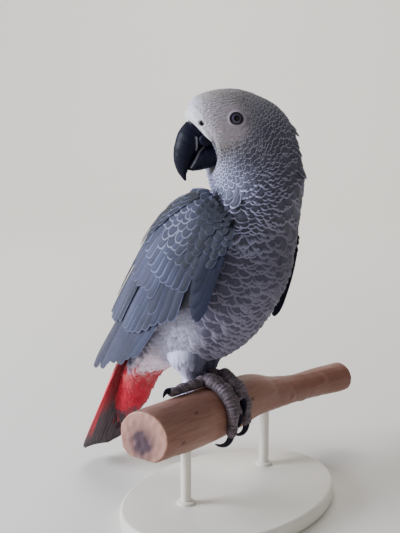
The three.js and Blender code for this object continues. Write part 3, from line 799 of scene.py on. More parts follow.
class Paint:
    """A node material in the making. Its constants are the shader's own sockets."""

    def __init__(self, name, roughness, **constants):
        self.material = bpy.data.materials.new(name)
        self.material.use_nodes = True
        self.tree = self.material.node_tree
        self.tree.nodes.clear()
        self.shader = self.tree.nodes.new("ShaderNodeBsdfPrincipled")
        output = self.tree.nodes.new("ShaderNodeOutputMaterial")
        self.tree.links.new(self.shader.outputs["BSDF"], output.inputs["Surface"])
        self.shader.inputs["Roughness"].default_value = roughness
        for key, value in constants.items():
            socket = key.replace("_", " ").title().replace("Ior", "IOR")
            self.shader.inputs[socket].default_value = value

    def node(self, kind, inputs=(), **settings):
        """A node with its inputs, each a number, a colour or another node's output."""
        made = self.tree.nodes.new(kind)
        for key, value in settings.items():
            setattr(made, key, value)
        for key, value in dict(inputs).items():
            self.feed(made.inputs[key], value)
        return made

    def feed(self, socket, value):
        """Links a node's output to a socket, or sets the socket to a number or colour."""
        if isinstance(value, bpy.types.NodeSocket):
            self.tree.links.new(value, socket)
        elif hasattr(value, "__len__") and len(value) == 3 and socket.type == "RGBA":
            socket.default_value = (*value, 1)
        else:
            socket.default_value = value

    def math(self, operation, a, b=0.0, c=0.0):
        return self.node("ShaderNodeMath", {0: a, 1: b, 2: c}, operation=operation).outputs[0]

    def plus(self, a, b):
        return self.math("ADD", a, b)

    def minus(self, a, b):
        return self.math("SUBTRACT", a, b)

    def times(self, a, b):
        return self.math("MULTIPLY", a, b)

    def line(self, value, slope, start):
        """A value times a slope, plus a start."""
        return self.math("MULTIPLY_ADD", value, slope, start)

    def waves(self, angle):
        """The sine of an angle, moved to run from 0 to 1."""
        return self.line(self.math("SINE", angle), 0.5, 0.5)

    def range(self, value, low, high, to_low=0.0, to_high=1.0):
        """A value carried from low and high to two others, smoothly and no further."""
        keys = {"Value": value, "From Min": low, "From Max": high, "To Min": to_low, "To Max": to_high}
        made = self.node("ShaderNodeMapRange", keys, interpolation_type="SMOOTHSTEP")
        return made.outputs["Result"]

    def mix(self, share, a, b, blend="MIX"):
        """Colour a, turning to b as the share goes from 0 to 1."""
        made = self.node("ShaderNodeMix", data_type="RGBA", blend_type=blend)
        self.feed(made.inputs["Factor"], share)
        self.feed(made.inputs[6], a)
        self.feed(made.inputs[7], b)
        return made.outputs[2]

    def shaded(self, colour, share):
        """A colour times a number."""
        grey = self.node("ShaderNodeCombineXYZ", {0: share, 1: share, 2: share}).outputs[0]
        return self.mix(1.0, colour, grey, "MULTIPLY")

    def where(self):
        return self.node("ShaderNodeTexCoord").outputs["Object"]

    def stretched(self, scale):
        """Object coordinates scaled apart along each axis."""
        keys = {"Vector": self.where(), "Scale": scale}
        return self.node("ShaderNodeMapping", keys).outputs["Vector"]

    def noise(self, scale, detail=3.0, vector=None, rough=0.5, distortion=0.0):
        keys = {"Vector": vector or self.where(), "Scale": scale, "Detail": detail,
                "Roughness": rough, "Distortion": distortion}
        return self.node("ShaderNodeTexNoise", keys).outputs["Fac"]

    def cells(self, scale, feature="F1", vector=None):
        keys = {"Vector": vector or self.where(), "Scale": scale}
        return self.node("ShaderNodeTexVoronoi", keys, feature=feature).outputs["Distance"]

    def attribute(self, name):
        return self.node("ShaderNodeAttribute", attribute_name=name, attribute_type="GEOMETRY").outputs

    def on_vane(self):
        """A place on a feather: -1 to 1 across, 0 to 1 along, and how far from the shaft."""
        uv = self.node("ShaderNodeUVMap", uv_map="Vane").outputs["UV"]
        parts = self.node("ShaderNodeSeparateXYZ", {"Vector": uv}).outputs
        x = self.line(parts["X"], 2.0, -1.0)
        return x, parts["Y"], self.math("ABSOLUTE", x)

    def bump(self, height, distance, strength):
        keys = {"Height": height, "Distance": distance, "Strength": strength}
        return self.node("ShaderNodeBump", keys).outputs["Normal"]

    def done(self, colour, normal=None, roughness=None):
        """The material, its shader fed with what varies over the surface."""
        for key, value in (("Base Color", colour), ("Normal", normal), ("Roughness", roughness)):
            if value is not None:
                self.feed(self.shader.inputs[key], value)
        return self.material


def plume_paint(name, tip, soft, barbs, shaft=0.0, crescent=0.35, fray=0.04, rough=0.7, under=0.0,
                streak=0.0):
    """Feathers: a darker middle and a pale rim that follow the vane's own outline, a shaft,
    fine barbs that slant from the shaft towards the tip, and shade on the side that lies
    under the next feather."""
    paint = Paint(name, rough, sheen_weight=0.12, sheen_roughness=0.5, specular_ior_level=0.2)
    x, y, out = paint.on_vane()
    up = paint.math("MAXIMUM", paint.math("DIVIDE", paint.minus(y, tip), 1 - tip), 0.0)
    far = paint.math("SQRT", paint.plus(paint.times(x, x), paint.times(up, up)))
    speck = paint.noise(2200, 3, rough=0.6)
    far = paint.plus(far, paint.line(speck, fray * 2, -fray))
    middle, rim = paint.attribute("middle"), paint.attribute("rim")
    start = paint.minus(1.0, middle["Alpha"])
    edge = paint.range(far, paint.minus(start, soft), paint.plus(start, soft))
    centre = paint.shaded(middle["Color"], paint.range(far, 0.25, 0.85, 1.0, 1 - crescent))
    colour = paint.mix(edge, centre, rim["Color"])
    slant = paint.line(y, barbs, paint.times(out, -0.3 * barbs))
    lines = paint.waves(paint.times(paint.plus(slant, paint.times(speck, 1.6)), TURN))
    colour = paint.shaded(colour, paint.line(lines, 0.16, 0.9))
    if shaft > 0:
        colour = paint.mix(paint.range(out, 0.07, 0.02, 0.0, shaft), colour, rim["Color"])
    if under > 0:
        side = paint.times(x, paint.line(rim["Alpha"], 2.0, -1.0))
        colour = paint.shaded(colour, paint.range(side, 0.0, 0.9, 1.0, 1 - under))
    if streak > 0:
        colour = paint.shaded(colour, paint.range(paint.noise(70, 3), 0.3, 0.7, 1 - streak, 1.0))
    return paint.done(colour, paint.bump(lines, 0.00006, 0.7))


def skin_paint():
    """Skin under the coat: the bare face pale and finely pimpled, the rest tinted a darker tone of the
    feathers above it, and dark slate under the wings as painted shade."""
    paint = Paint("Bird skin", 0.55, subsurface_weight=0.08, subsurface_scale=0.002,
                  subsurface_radius=(1.0, 0.5, 0.4), specular_ior_level=0.3)
    blotch = paint.range(paint.noise(160, 4), 0.3, 0.7, 0.8, 1.1)
    colour = paint.shaded(paint.attribute("tint")["Color"], blotch)
    return paint.done(colour, paint.bump(paint.cells(1500), 0.0002, 0.5))


def cere_paint(face):
    """Pale waxy skin over the base of the bill, dusted, with the nostrils painted near-black as painted
    shade in their pits.
    """
    paint = Paint("Cere", 0.5, subsurface_weight=0.1, subsurface_scale=0.002,
                  subsurface_radius=(1.0, 0.5, 0.4), specular_ior_level=0.4)
    dust = paint.noise(350, 4)
    colour = paint.mix(paint.range(dust, 0.3, 0.7, 0, 0.5), face, dimmed(face, 0.72))
    # Painted shade: the nostril pits are coloured near-black.
    colour = paint.mix(paint.attribute("hole")["Fac"], colour, (0.02, 0.006, 0.007))
    normal = paint.bump(paint.noise(1400, 3), 0.00025, 0.5)
    return paint.done(colour, normal, paint.range(dust, 0.2, 0.8, 0.4, 0.62))


def horn_paint(name, horn):
    """Black horn with a soft gloss, grown in faint bands, powdered with grey, and pale where the attribute
    streak says: a pale line down the upper bill, and a painted highlight along the lower bill's cutting
    edge."""
    paint = Paint(name, 0.45, specular_ior_level=0.12)
    band = paint.noise(1.0, 4, paint.stretched((260, 260, 900)), 0.6)
    powder = paint.noise(420, 5, rough=0.65)
    grey = tuple(0.004 + 1.4 * part for part in horn)
    colour = paint.mix(paint.range(powder, 0.42, 0.75, 0, 0.5), horn, grey)
    # The pale streak colour: on the upper bill a pale line, on the lower bill a painted highlight along its
    # cutting edge.
    colour = paint.mix(paint.attribute("streak")["Fac"], colour, (0.25, 0.25, 0.3))
    height = paint.plus(band, paint.times(powder, 0.5))
    return paint.done(
        colour, paint.bump(height, 0.0002, 0.45), paint.range(powder, 0.25, 0.8, 0.38, 0.55)
    )


def eye_paint(iris):
    """A black pupil, a grey iris with fine spokes and a dark outer ring, under a wet gloss."""
    paint = Paint("Eye", 0.05, specular_ior_level=0.18, coat_weight=0.15, coat_roughness=0.02)
    ring = paint.attribute("ring")["Fac"]
    pale = paint.mix(paint.times(paint.noise(2500, 2), 0.5), iris, dimmed(iris, 1.5))
    shade = paint.mix(paint.range(ring, 1.7, 2.2, 0.5, 0.0), pale, (0.02, 0.02, 0.03))
    colour = paint.mix(paint.range(ring, 1.85, 2.05), (0.002, 0.002, 0.002), shade)
    return paint.done(paint.mix(paint.range(ring, 3.0, 3.25), colour, (0.01, 0.01, 0.013)))


def lid_paint(face):
    """Eyelids: a dark moist edge and pale skin beyond it."""
    paint = Paint("Eyelid", 0.45, specular_ior_level=0.4)
    ring = paint.plus(paint.attribute("ring")["Fac"], paint.line(paint.noise(1800, 2), 0.5, -0.25))
    pale = (0.46 * face[0], 0.4 * face[1], 0.45 * face[2])
    colour = paint.mix(paint.range(ring, 4.0, 4.6), (0.018, 0.015, 0.022), pale)
    return paint.done(colour, paint.bump(paint.cells(2600), 0.0002, 0.5))


def scale_paint(scale):
    """Dry scaly skin: small cells with paler dusty edges."""
    paint = Paint("Scaly foot", 0.62, specular_ior_level=0.35)
    cell = paint.cells(560, "DISTANCE_TO_EDGE")
    furrow = paint.attribute("furrow")["Fac"]
    blotch = paint.noise(240, 4)
    dark, light = dimmed(scale, 0.45), dimmed(scale, 2.2)
    colour = paint.mix(paint.range(blotch, 0.35, 0.65), dark, scale)
    edge = paint.times(paint.range(cell, 0.02, 0.14, 1.0, 0.0), paint.range(blotch, 0.35, 0.7, 0.1, 0.75))
    colour = paint.mix(edge, colour, light)
    colour = paint.mix(paint.range(furrow, 0.12, 0.45, 0.0, 0.55), colour, light)
    colour = paint.mix(paint.range(furrow, 0.5, 0.85), colour, dark)
    return paint.done(colour, paint.bump(paint.range(cell, 0.0, 0.15), 0.0003, 0.7))


def wood_paint(wood, heart):
    """Barkless branch: fine grain along its length, darker streaks, small knots, and a cut
    end with rings and a stained heart."""
    paint = Paint("Perch wood", 0.5, specular_ior_level=0.35)
    end = paint.attribute("end")
    grain = paint.noise(1.0, 5, paint.stretched((38, 620, 620)), 0.6, 0.3)
    broad = paint.noise(1.0, 4, paint.stretched((14, 60, 60)), 0.55, 0.6)
    red = (0.20, 0.072, 0.045)
    side = paint.mix(paint.range(grain, 0.35, 0.7, 0.0, 0.5), wood, dimmed(wood, 0.6))
    side = paint.mix(paint.range(broad, 0.42, 0.68, 0.0, 0.6), side, red)
    side = paint.mix(paint.range(paint.noise(55, 3), 0.5, 0.8, 0, 0.35), side, dimmed(wood, 1.5))
    along = paint.node("ShaderNodeSeparateXYZ", {"Vector": paint.where()}).outputs["X"]
    side = paint.mix(paint.range(along, 0.005, 0.06, 0.0, 0.85), side, red)
    knot = paint.cells(34, vector=paint.stretched((1.0, 1.6, 1.6)))
    side = paint.mix(paint.range(knot, 0.10, 0.03, 0.0, 0.75), side, (0.05, 0.02, 0.015))
    rings = paint.noise(1.0, 3, paint.stretched((1, 300, 300)), 0.6)
    face = paint.mix(paint.range(rings, 0.35, 0.7, 0.0, 0.35), heart, dimmed(heart, 0.72))
    face = paint.mix(end["Color"], face, (0.055, 0.032, 0.05))
    height = paint.plus(grain, paint.times(broad, 0.6))
    return paint.done(
        paint.mix(end["Alpha"], side, face), paint.bump(height, 0.0006, 0.5),
        paint.range(broad, 0.3, 0.7, 0.4, 0.6),
    )


def stand_paint(cream):
    """Satin cream paint with a faint orange-peel and soft wear."""
    paint = Paint("Stand paint", 0.42, specular_ior_level=0.5)
    wear = paint.noise(30, 4)
    colour = paint.mix(paint.range(wear, 0.35, 0.7, 0, 0.35), cream, dimmed(cream, 0.86))
    peel = paint.bump(paint.noise(900, 2), 0.00006, 0.5)
    return paint.done(colour, peel, paint.range(wear, 0.3, 0.7, 0.36, 0.5))


def backdrop_paint(colour):
    """Matt paint, faintly clouded."""
    paint = Paint("Backdrop", 0.9, specular_ior_level=0.1)
    return paint.done(paint.mix(paint.noise(2.0, 3), colour, dimmed(colour, 0.96)))


# ---- skin and coat

def coat_depth(v):
    """How deep the skin lies under the coat's outline, by ring."""
    stops = ((0, 3.6), (0.9, 3.6), (1.6, 0.8), (4, 1.1), (6, 1.8), (8, 2.8), (10.5, 4), (13, 5), (21, 5))
    return by_row(stops, v)


def eye_axis(side):
    """The eye's centre and the way it looks out, square to the face beside it."""
    centre = head_place(EYE["forward"], EYE["up"], side * EYE["out"])
    return centre, BODY.slopes(*face_spot(EYE["forward"], EYE["up"], side))[2]


def off_axis(apart, look):
    """How far places lie from an axis, given from a place on it."""
    return np.linalg.norm(apart - (apart @ look)[:, None] * look, axis=-1)


def face_spot(forward, up, side):
    """The body's (u, v) at which the face has this forward and up, on one side."""
    us, vs = np.meshgrid(CROWN + side * np.linspace(0.01, 0.49, 193), np.linspace(0, 6, 241))
    f, h, _ = in_head(body_place(us, vs))
    best = np.argmin((f - forward) ** 2 + (h - up) ** 2)
    return us.ravel()[best], vs.ravel()[best]


def round_back(u):
    """How far round the body a place lies from the back line, in turns from 0 to 0.5."""
    return np.abs((u + 0.5) % 1 - 0.5)


def oval_at(v):
    """The ring at v as middle, rise and reach: place = middle + rise cos 2 pi u + reach sin 2 pi u."""
    at = body_place(np.array([0, 0.25, 0.5, 0.75]), v)
    return (at[0] + at[2]) / 2, (at[0] - at[2]) / 2, (at[1] - at[3]) / 2


FOLD = (8.6, 11.7)  # the rings between which the neck folds in over the shoulder
FOLD_OVALS = tuple(oval_at(v) for v in (*FOLD, FOLD[0] - 0.1, FOLD[1] + 0.1))


def coat_place(u, v):
    """The surface that the coat lies on. It is the body's outline, but where the neck folds in
    over the shoulder the coat spans the fold: a Hermite cubic from one ring to another that
    leaves and arrives along the outline, 0.8 of the span long at each end."""
    u, v = paired(u, v)
    t = (v - FOLD[0]) / (FOLD[1] - FOLD[0])
    share = ease(0.3, 0.14, round_back(u - 0.77)) * ((t > 0) & (t < 1))
    t = np.clip(t, 0, 1)[..., None]
    c, s = np.cos(TURN * u)[..., None], np.sin(TURN * u)[..., None]
    start, finish, before, after = (m + rise * c + reach * s for m, rise, reach in FOLD_OVALS)
    span = 0.8 * np.linalg.norm(finish - start, axis=-1, keepdims=True)
    bridge = start * (1 + 2 * t) * (1 - t) ** 2 + finish * (3 - 2 * t) * t**2
    bridge = bridge + span * t * (1 - t) * (unit(start - before) * (1 - t) - unit(after - finish) * t)
    return mixed(body_place(u, v), bridge, share)


COAT = Surface(coat_place, (1e-3, 1e-2), (0.5, 13.0), (0, -1, 0))


def pale_share(u, places):
    """How pale the coat is: 1 on the flanks behind the belly, the vent and the thighs."""
    _, y, z = np.moveaxis(places, -1, 0)
    front = np.interp(z, (98, 114, 130, 142, 152), (17, 9, 3, 6, 14))
    return ease(-5, 7, y - front) * ease(150, 138, z) * ease(0.2, 0.27, round_back(u))


def bare_share(places):
    """How bare the face is: 1 inside an oval round the eye and the lores."""
    forward, up, out = in_head(places)
    apart = np.hypot((forward - 27) / np.where(forward > 27, 18, 13.5), (up - 49.5) / 12.5)
    return ease(1.4, 0.7, apart) * (np.abs(out) > 4)


def make_skin(colours):
    """The bird's skin: the body's outline, thighs and wings, each drawn in by the coat's
    depth, joined into one closed surface."""
    u = np.linspace(0, 1, 160, endpoint=False)[None, :]
    v = np.linspace(0, COAT_END + 0.4, 270)[:, None]
    shapes = [closed_tube(body_place(u, v) - coat_depth(v)[..., None] * BODY.slopes(u, v)[2])]
    rows = np.linspace(0, 3.9, 40)[:, None]
    for name, thigh in THIGH_FACE.items():
        shapes.append(closed_tube(thigh.place(u, rows) - 2.4 * thigh.slopes(u, rows)[2]))
        shapes.append(wing_core(name))
    shape = remeshed("skin", shapes, VOXEL["skin"], 4)
    nodes = ("head", "neck", "trunk", "thigh_left", "thigh_right")
    piece = new_piece("skin", shape, skin_paint(), nodes, 80)
    points = shape[0]
    _, y, z = points.T
    tint = mixed(dimmed(colours.grey, 0.7), dimmed(colours.face, 0.75), bare_share(points))
    for colour, share in (
        (dimmed(colours.pale, 0.6), ease(142, 130, z) * ease(-6, 6, y)),
        # Painted shade: dark slate on the skin well inside a folded wing's outline.
        (dimmed(colours.slate, 0.3), under_wing(points)),
        (dimmed(colours.red, 0.6), ease(96, 84, z) * ease(52, 66, y)),
    ):
        tint = mixed(tint, colour, share)
    point_colour(piece, "tint", four(tint, 1))


def wing_core(name):
    """The arm under the coverts: a closed plate between two faces inside the folded wing."""
    face = WING_FACE[name]
    share = np.linspace(0.06, 0.94, 40)[None, :]
    along = np.linspace(5, 118, 80)[:, None]
    low, high, _, thick, _ = wing_numbers(along)
    across = low + 1.5 + (high - low - 3) * share
    place, normal = face.place(across, along), face.slopes(across, along)[2]
    outer = place - 3.2 * normal
    inner = place - np.maximum(thick * (0.45 + 0.55 * np.sin(math.pi * share)), 4.4)[..., None] * normal
    if face.sign * np.cross(outer[1, 0] - outer[0, 0], outer[0, 1] - outer[0, 0]) @ normal[0, 0] > 0:
        outer, inner = outer[:, ::-1], inner[:, ::-1]
    return closed_plate(outer, inner)


HEAD_VANE = Vane(even_columns(5), (3, 2), 0.62, 0.5, 0.16, 0.0, 0.10, 0.0, 0)
NECK_VANE = Vane(even_columns(7), (4, 4), 0.58, 0.45, 0.16, 0.05, 0.05, 0.0, 0)
BODY_VANE = Vane(even_columns(7), (4, 4), 0.60, 0.45, 0.14, 0.04, 0.09, 0.0, 0)
DOWN_VANE = Vane(even_columns(5), (4, 4), 0.62, 0.4, 0.12, 0.0, 0.2, 0.0, 0)


def body_pitch(u, v):
    """The length of feather that shows, in mm, by ring, smaller round the eyes, on the neck's
    shelf and among the down."""
    stops = (
        (0, 1.15), (1, 1.25), (2, 1.4), (3, 1.55), (4, 1.75), (5, 2.0), (6, 2.4), (7, 3.0), (8, 3.9),
        (9, 5.0), (10, 5.8), (11, 5.4), (12, 4.6), (13, 4.1), (15, 4.2), (17, 5.0), (21, 7.0),
    )
    places = body_place(u, v)
    forward, up, out = in_head(places)
    apart = np.hypot(forward - EYE["forward"], up - EYE["up"])
    near = np.where((np.abs(out) > 8) & (v < 6), ease(14, 5, apart), 0)
    down = pale_share(u, places) * ease(84, 96, places[..., 2])
    return by_row(stops, v) * (1 - 0.3 * near) * (1 - 0.32 * shelf_share(u, v)) * (1 - 0.3 * down)


def shelf_share(u, v):
    """1 on the inside of the neck's bend, where the coat turns outward over the shoulder."""
    around = ease(0.26, 0.09, round_back(u - 0.77))
    return around * ease(6, 9, v) * ease(13.5, 11.5, v)


def hanging(u, v):
    """The turn from the lie of the coat towards straight down, for feathers on the shelf of
    the shoulder and, less, on the flanks."""
    _, slope, normal = COAT.slopes(u, v)
    forward = unit(slope)
    beside = unit(np.cross(forward, normal))
    pull = (0.4 * shelf_share(u, v) + 0.5 * pale_share(u, body_place(u, v)))[:, None]
    way = forward + pull * (normal[:, 2:] * normal - UP)
    return np.arctan2((way * beside).sum(-1), (way * forward).sum(-1))


def body_wide(u, v):
    """How many times wider than long the showing part of a body feather is, by ring."""
    stops = (
        (0, 1.1), (3, 1.2), (5, 1.45), (7, 1.75), (9, 1.9), (11, 2.0), (13, 2.3), (15, 2.3), (17, 1.9),
        (21, 1.1),
    )
    return by_row(stops, v) * (1 - 0.15 * shelf_share(u, v))


def under_wing(places):
    """True where a place of the trunk lies well inside a folded wing's outline."""
    hidden = np.zeros(places.shape[:-1], bool)
    for name, side in SIDES.items():
        across, along = on_wing(name, places)
        low, high, *_ = wing_numbers(along)
        reach = WING_END[0] + (WING_END[1] - WING_END[0]) * (across - low) / (high - low)
        inside = (across > low + 22) & (across < high - 8) & (along > 16) & (along < reach - 12)
        hidden |= inside & (places[..., 0] * side > 6)
    return hidden


def over_shoulder(places):
    """1 where the neck's feathers hang over the top of a folded wing, fading to 0 round it."""
    share = np.zeros(places.shape[:-1])
    for name, side in SIDES.items():
        across, along = on_wing(name, places)
        near = ease(-12, -3, along) * ease(16, 8, along) * ease(-9, -2, across)
        near = near * ease(15, 7, across)
        share = np.maximum(share, near * ease(12, 22, places[..., 0] * side))
    return share


def tufts(u, v):
    """How far feather tips stand off the nape, in mm: a few ruffled spots, each a bell curve."""
    raised = np.zeros(len(u))
    for at_u, at_v, height in ((0.404, 6.7, 2.6), (0.436, 7.1, 2.2), (0.43, 7.6, 1.6), (0.456, 8.3, 3.6)):
        raised = raised + height * bell((u - at_u) / 0.014, (v - at_v) / 0.22)
    return raised


def body_colours(colours, u, v, draw):
    """The middle and rim colour of each body feather whose tip lies at (u, v), with the rim's
    width in the middle's fourth number."""
    names = ("grey", "rim", "face", "pale", "red", "maroon", "slate")
    grey, rim, face, pale, red, maroon, slate = tints(colours, *names)
    beige, bluish = np.array([1.08, 1.0, 0.9]), np.array([0.9, 0.97, 1.15])
    violet = np.array([1.02, 0.97, 1.07])
    places = body_place(u, v)
    _, y, z = np.moveaxis(places, -1, 0)
    # The forehead is pale; the bluish tint of its rows here is painted window light.
    middle = by_row((
        (0, face * bluish), (1.4, face * bluish * 0.85), (2.4, face * beige * 0.3),
        (3.6, mixed(face * beige * 0.28, grey, 0.4)), (5, mixed(face * 0.4, grey, 0.8)), (6, grey),
        (8, grey * 0.93), (11, grey * 0.92), (13, grey * violet * 0.92), (15, grey * violet * 1.3),
        (21, grey * violet * 1.5),
    ), v)
    edge = by_row((
        (0, face * bluish), (1.6, face * 0.92), (2.7, face * beige * 0.54), (3.8, face * beige * 0.5),
        (5, mixed(face, rim, 0.6) * 0.66), (7, rim * 0.56), (9, rim * violet * 0.48),
        (11, rim * violet * 0.43), (12.5, rim * violet * 0.32), (15, rim * violet * 0.62),
        (17, rim * violet * 0.74), (21, rim * violet * 0.86),
    ), v)
    width = by_row((
        (0, 0.5), (2, 0.4), (4, 0.26), (6, 0.19), (9, 0.15), (11, 0.18), (13, 0.24), (15, 0.28), (21, 0.38),
    ), v)
    bare = bare_share(places)
    blush = mixed(face * 0.57, face * np.array([1.0, 0.82, 0.9]) * 0.6, draw.random(len(v)))
    middle, edge = mixed(middle, blush, bare), mixed(edge, blush * 1.1, bare)
    forward, up, _ = in_head(places)
    ear = bell((forward - 4) / 9, (up - 42) / 9) * (v < 6) * draw.uniform(0.3, 1, len(v))
    middle, edge = mixed(middle, grey * 1.2, 0.8 * ear), mixed(edge, grey * 2.2, 0.7 * ear)
    # The throat's feathers are paler; the bluish white of their rims is partly painted window light.
    throat = ease(0.22, 0.08, round_back(u - THROAT)) * ease(10.5, 7.5, v)
    throat = throat * ease(2, 4, v)
    middle = mixed(middle, mixed(grey, pale * bluish, 0.4), throat * 0.75)
    edge = mixed(edge, pale * bluish * 1.65, throat * 0.95)
    back = ease(0.19, 0.12, round_back(u)) * ease(10, 11.5, v)
    lower = ease(14.5, 17, v)
    middle = mixed(middle, mixed(slate * 1.1, slate * 1.6, lower), back)
    edge = mixed(edge, mixed(slate * 1.9, slate * 2.4, lower), back)
    width = width * (1 - 0.55 * back)
    edge = mixed(edge, rim * bluish * 1.05, 0.6 * shelf_share(u, v))
    light = pale_share(u, places)
    # The vent's own warm cream, brightened further as painted light where it lies in shade under the body.
    cream = ease(118, 100, z) * ease(38, 48, y)
    streak = mixed(pale, pale * np.array([1.65, 1.42, 1.36]), cream)
    streak = streak * draw.uniform(0.7, 0.92, len(v))[:, None]
    streak = streak * mixed(np.array([0.84, 0.85, 0.93]), np.ones(3), cream)
    middle, edge = mixed(middle, streak, light), mixed(edge, streak * 1.04, light)
    low = z + draw.uniform(-4, 4, len(v))
    tail = ease(93, 84, low) * ease(50, 62, y)
    warm = np.array(tone("cf9088"))
    ends = ease(59, 46, low + draw.uniform(-3, 3, len(v)))[:, None]
    mottle = (0.05 + 0.8 * ease(66, 88, low)) * draw.random(len(v)) ** 1.5
    middle = mixed(middle, mixed(red * 0.85, warm, mottle) * (1 - ends) + maroon * ends, tail)
    edge = mixed(edge, mixed(red, warm, 0.8 * mottle) * (1 - ends) + maroon * 1.15 * ends, tail)
    spread = (1 + 0.12 * draw.uniform(-1, 1, len(v)))[:, None]
    middle, edge = middle * spread, edge * (1 + 0.5 * (spread - 1))
    return four(middle, width), four(edge, 0.5)


def body_feathers(settings, colours, name, rings, vane, paint, seed, keep):
    """Feathers of one stretch of the body, in rows from ring to ring, where keep says."""
    feathers = Feathers(settings.seed + seed)
    draw = feathers.draw
    u, v, pitch = coat_rows(
        COAT, lambda u, v: settings.feather_size * body_pitch(u, v), (0, COAT_END), body_wide
    )
    places = body_place(u, v)
    good = (v >= rings[0]) & (v < rings[1]) & ~under_wing(places) & keep(u, v, places)
    u, v, pitch, places = u[good], v[good], pitch[good], places[good]
    count = len(u)
    shelf, down = shelf_share(u, v), ease(0.3, 0.7, pale_share(u, places))
    length = (3.3 - 0.5 * shelf + 1.2 * down) * pitch * draw.uniform(0.92, 1.08, count)
    length = length * (1 + 0.25 * ease(18.3, 19.9, v))
    half = (0.66 - 0.1 * down) * pitch * body_wide(u, v) * draw.uniform(0.94, 1.06, count)
    high = settings.ruffle * pitch * draw.uniform(-0.35, 0.3, count) - 1.2 * ease(17.5, 19, v)
    tip = v + 0.8 * length / np.linalg.norm(COAT.slopes(u, v)[1], axis=-1)
    high = high + tufts(u, v) + 3.2 * over_shoulder(body_place(u, tip))
    middle, rim = body_colours(colours, u, tip, draw)
    lie = hanging(u, v) + draw.normal(0, settings.lie_spread, count) * (1 + down)
    feathers.add(
        COAT, u, v, length, half, vane, middle, rim,
        np.stack([u % 1, (v - rings[0]) / (rings[1] - rings[0])], -1) * 0.96 + 0.02,
        lie=lie, low=3.2 * over_shoulder(places) - 0.9 * coat_depth(v), high=high,
        bend=draw.normal(0, 0.02, count),
    )
    feathers.piece(name, paint, "plumage")


def all_kept(u, v, places):
    """Leaves no feather out."""
    return True


def face_kept(u, v, places):
    """Leaves out feathers that would grow over the eyes or the cere."""
    keep = np.ones(len(u), bool)
    reach = EYE_CLEAR["length"] * unit(BODY.slopes(u, v)[1])
    for side in SIDES.values():
        centre, look = eye_axis(side)
        apart = places - centre
        near = np.linalg.norm(apart, axis=-1) < EYE_CLEAR["near"]
        root, tip = off_axis(apart, look), off_axis(apart + reach, look)
        keep &= ~(near & ((root < EYE_CLEAR["root"]) | (tip < EYE_CLEAR["tip"])))
    return keep & ~((round_back(u - CROWN) < 0.24) & (v < 1.0))


def flank_kept(u, v, places):
    """Keeps the pale feathers behind the belly."""
    return pale_share(u, places) >= 0.45


def breast_kept(u, v, places):
    """Keeps the grey feathers of the front half."""
    return ~flank_kept(u, v, places) & (round_back(u) >= 0.25)


def back_kept(u, v, places):
    """Keeps the grey feathers of the back half."""
    return ~flank_kept(u, v, places) & (round_back(u) < 0.25)


# ---- wings

# across and along: each feather's tip on the wing. half: its half-width. lie: its lean, in
# degrees. low and high: heights of root and tip. shade and rim: how bright its middle and rim
# are. width: the rim's share.
Tier = namedtuple("Tier", "across along length half lie low high shade rim width")
QUILL_COLUMNS = (-1, -0.66, -0.3, -0.07, 0, 0.07, 0.3, 0.66, 1)
QUILL_VANE = Vane(QUILL_COLUMNS, (10, 6), 0.90, 0.5, 0.12, 0.02, 0.02, 0.20, 0.25)
COVERT_VANE = Vane(even_columns(9), (6, 5), 0.78, 0.45, 0.15, 0.03, 0.03, 0.14, 0)
SMALL_VANE = Vane(even_columns(7), (4, 5), 0.78, 0.5, 0.12, 0.04, 0.04, 0.06, 0)


def lean_in(across, along, length):
    """The lean, in degrees, that keeps a feather's root at its tip's share of the wing's
    breadth."""
    low, high, *_ = wing_numbers(along)
    root_low, root_high, *_ = wing_numbers(along - length)
    root = root_low + (across - low) / (high - low) * (root_high - root_low)
    return np.degrees(np.arctan2(across - root, length))


def flight_tiers(drawn_in):
    """The long feathers of a folded wing, primaries and secondaries, from the outermost."""
    step = np.arange(7)
    primaries = Tier(
        13 + 5.4 * step, 137 + 7.4 * step - drawn_in, 100, 6.0, 7, -3.6, -0.6, 0.92, 1.1, 0.08
    )
    step = np.arange(10)
    ends = 107 + 15 * np.sin(math.pi * np.clip(step, 0, 4.4) / 7.5) + 9.5 * ease(4.5, 6.5, step)
    # The first feather of the second group (0.55) is darkened as painted shade in the gap between the two
    # groups.
    shade = (0.6, 0.66, 0.74, 0.84, 1.0, 0.55, 0.9, 1.0, 1.05, 0.6)
    across = 12.5 + 4.1 * step + 3.6 * (step > 4) - 1.6 * np.maximum(step - 7, 0)
    return primaries, Tier(across, ends, 62, 4.7, 1, -2.6, 0.5 * (step < 5), shade, 1.45, 0.12)


def covert_tiers():
    """The covering feathers of a folded wing, tier by tier down from the wrist."""
    step = np.arange(11)
    ends = 84 + 12 * bell((step - 2.2) / 1.3) + 3.0 * np.sin(step)
    shade = np.interp(step, (0, 3, 7), (0.5, 0.7, 1))
    lower = Tier(-3.5 + 5.3 * step, ends, 44, 5.3, -9 + 1.4 * step, -1.8, 0.35, shade, 1.5, 0.10)
    step = np.arange(10)
    ends = 60 + 6 * np.sin(math.pi * step / 9)
    shade = np.interp(step, (0, 3, 6), (0.4, 0.75, 1))
    rim = np.interp(step, (0, 3, 5), (0.9, 1.6, 2.2))
    return lower, Tier(-1.0 + 5.2 * step, ends, 27, 5.2, -8 + 1.4 * step, -1.2, 0.6, shade, rim, 0.15)


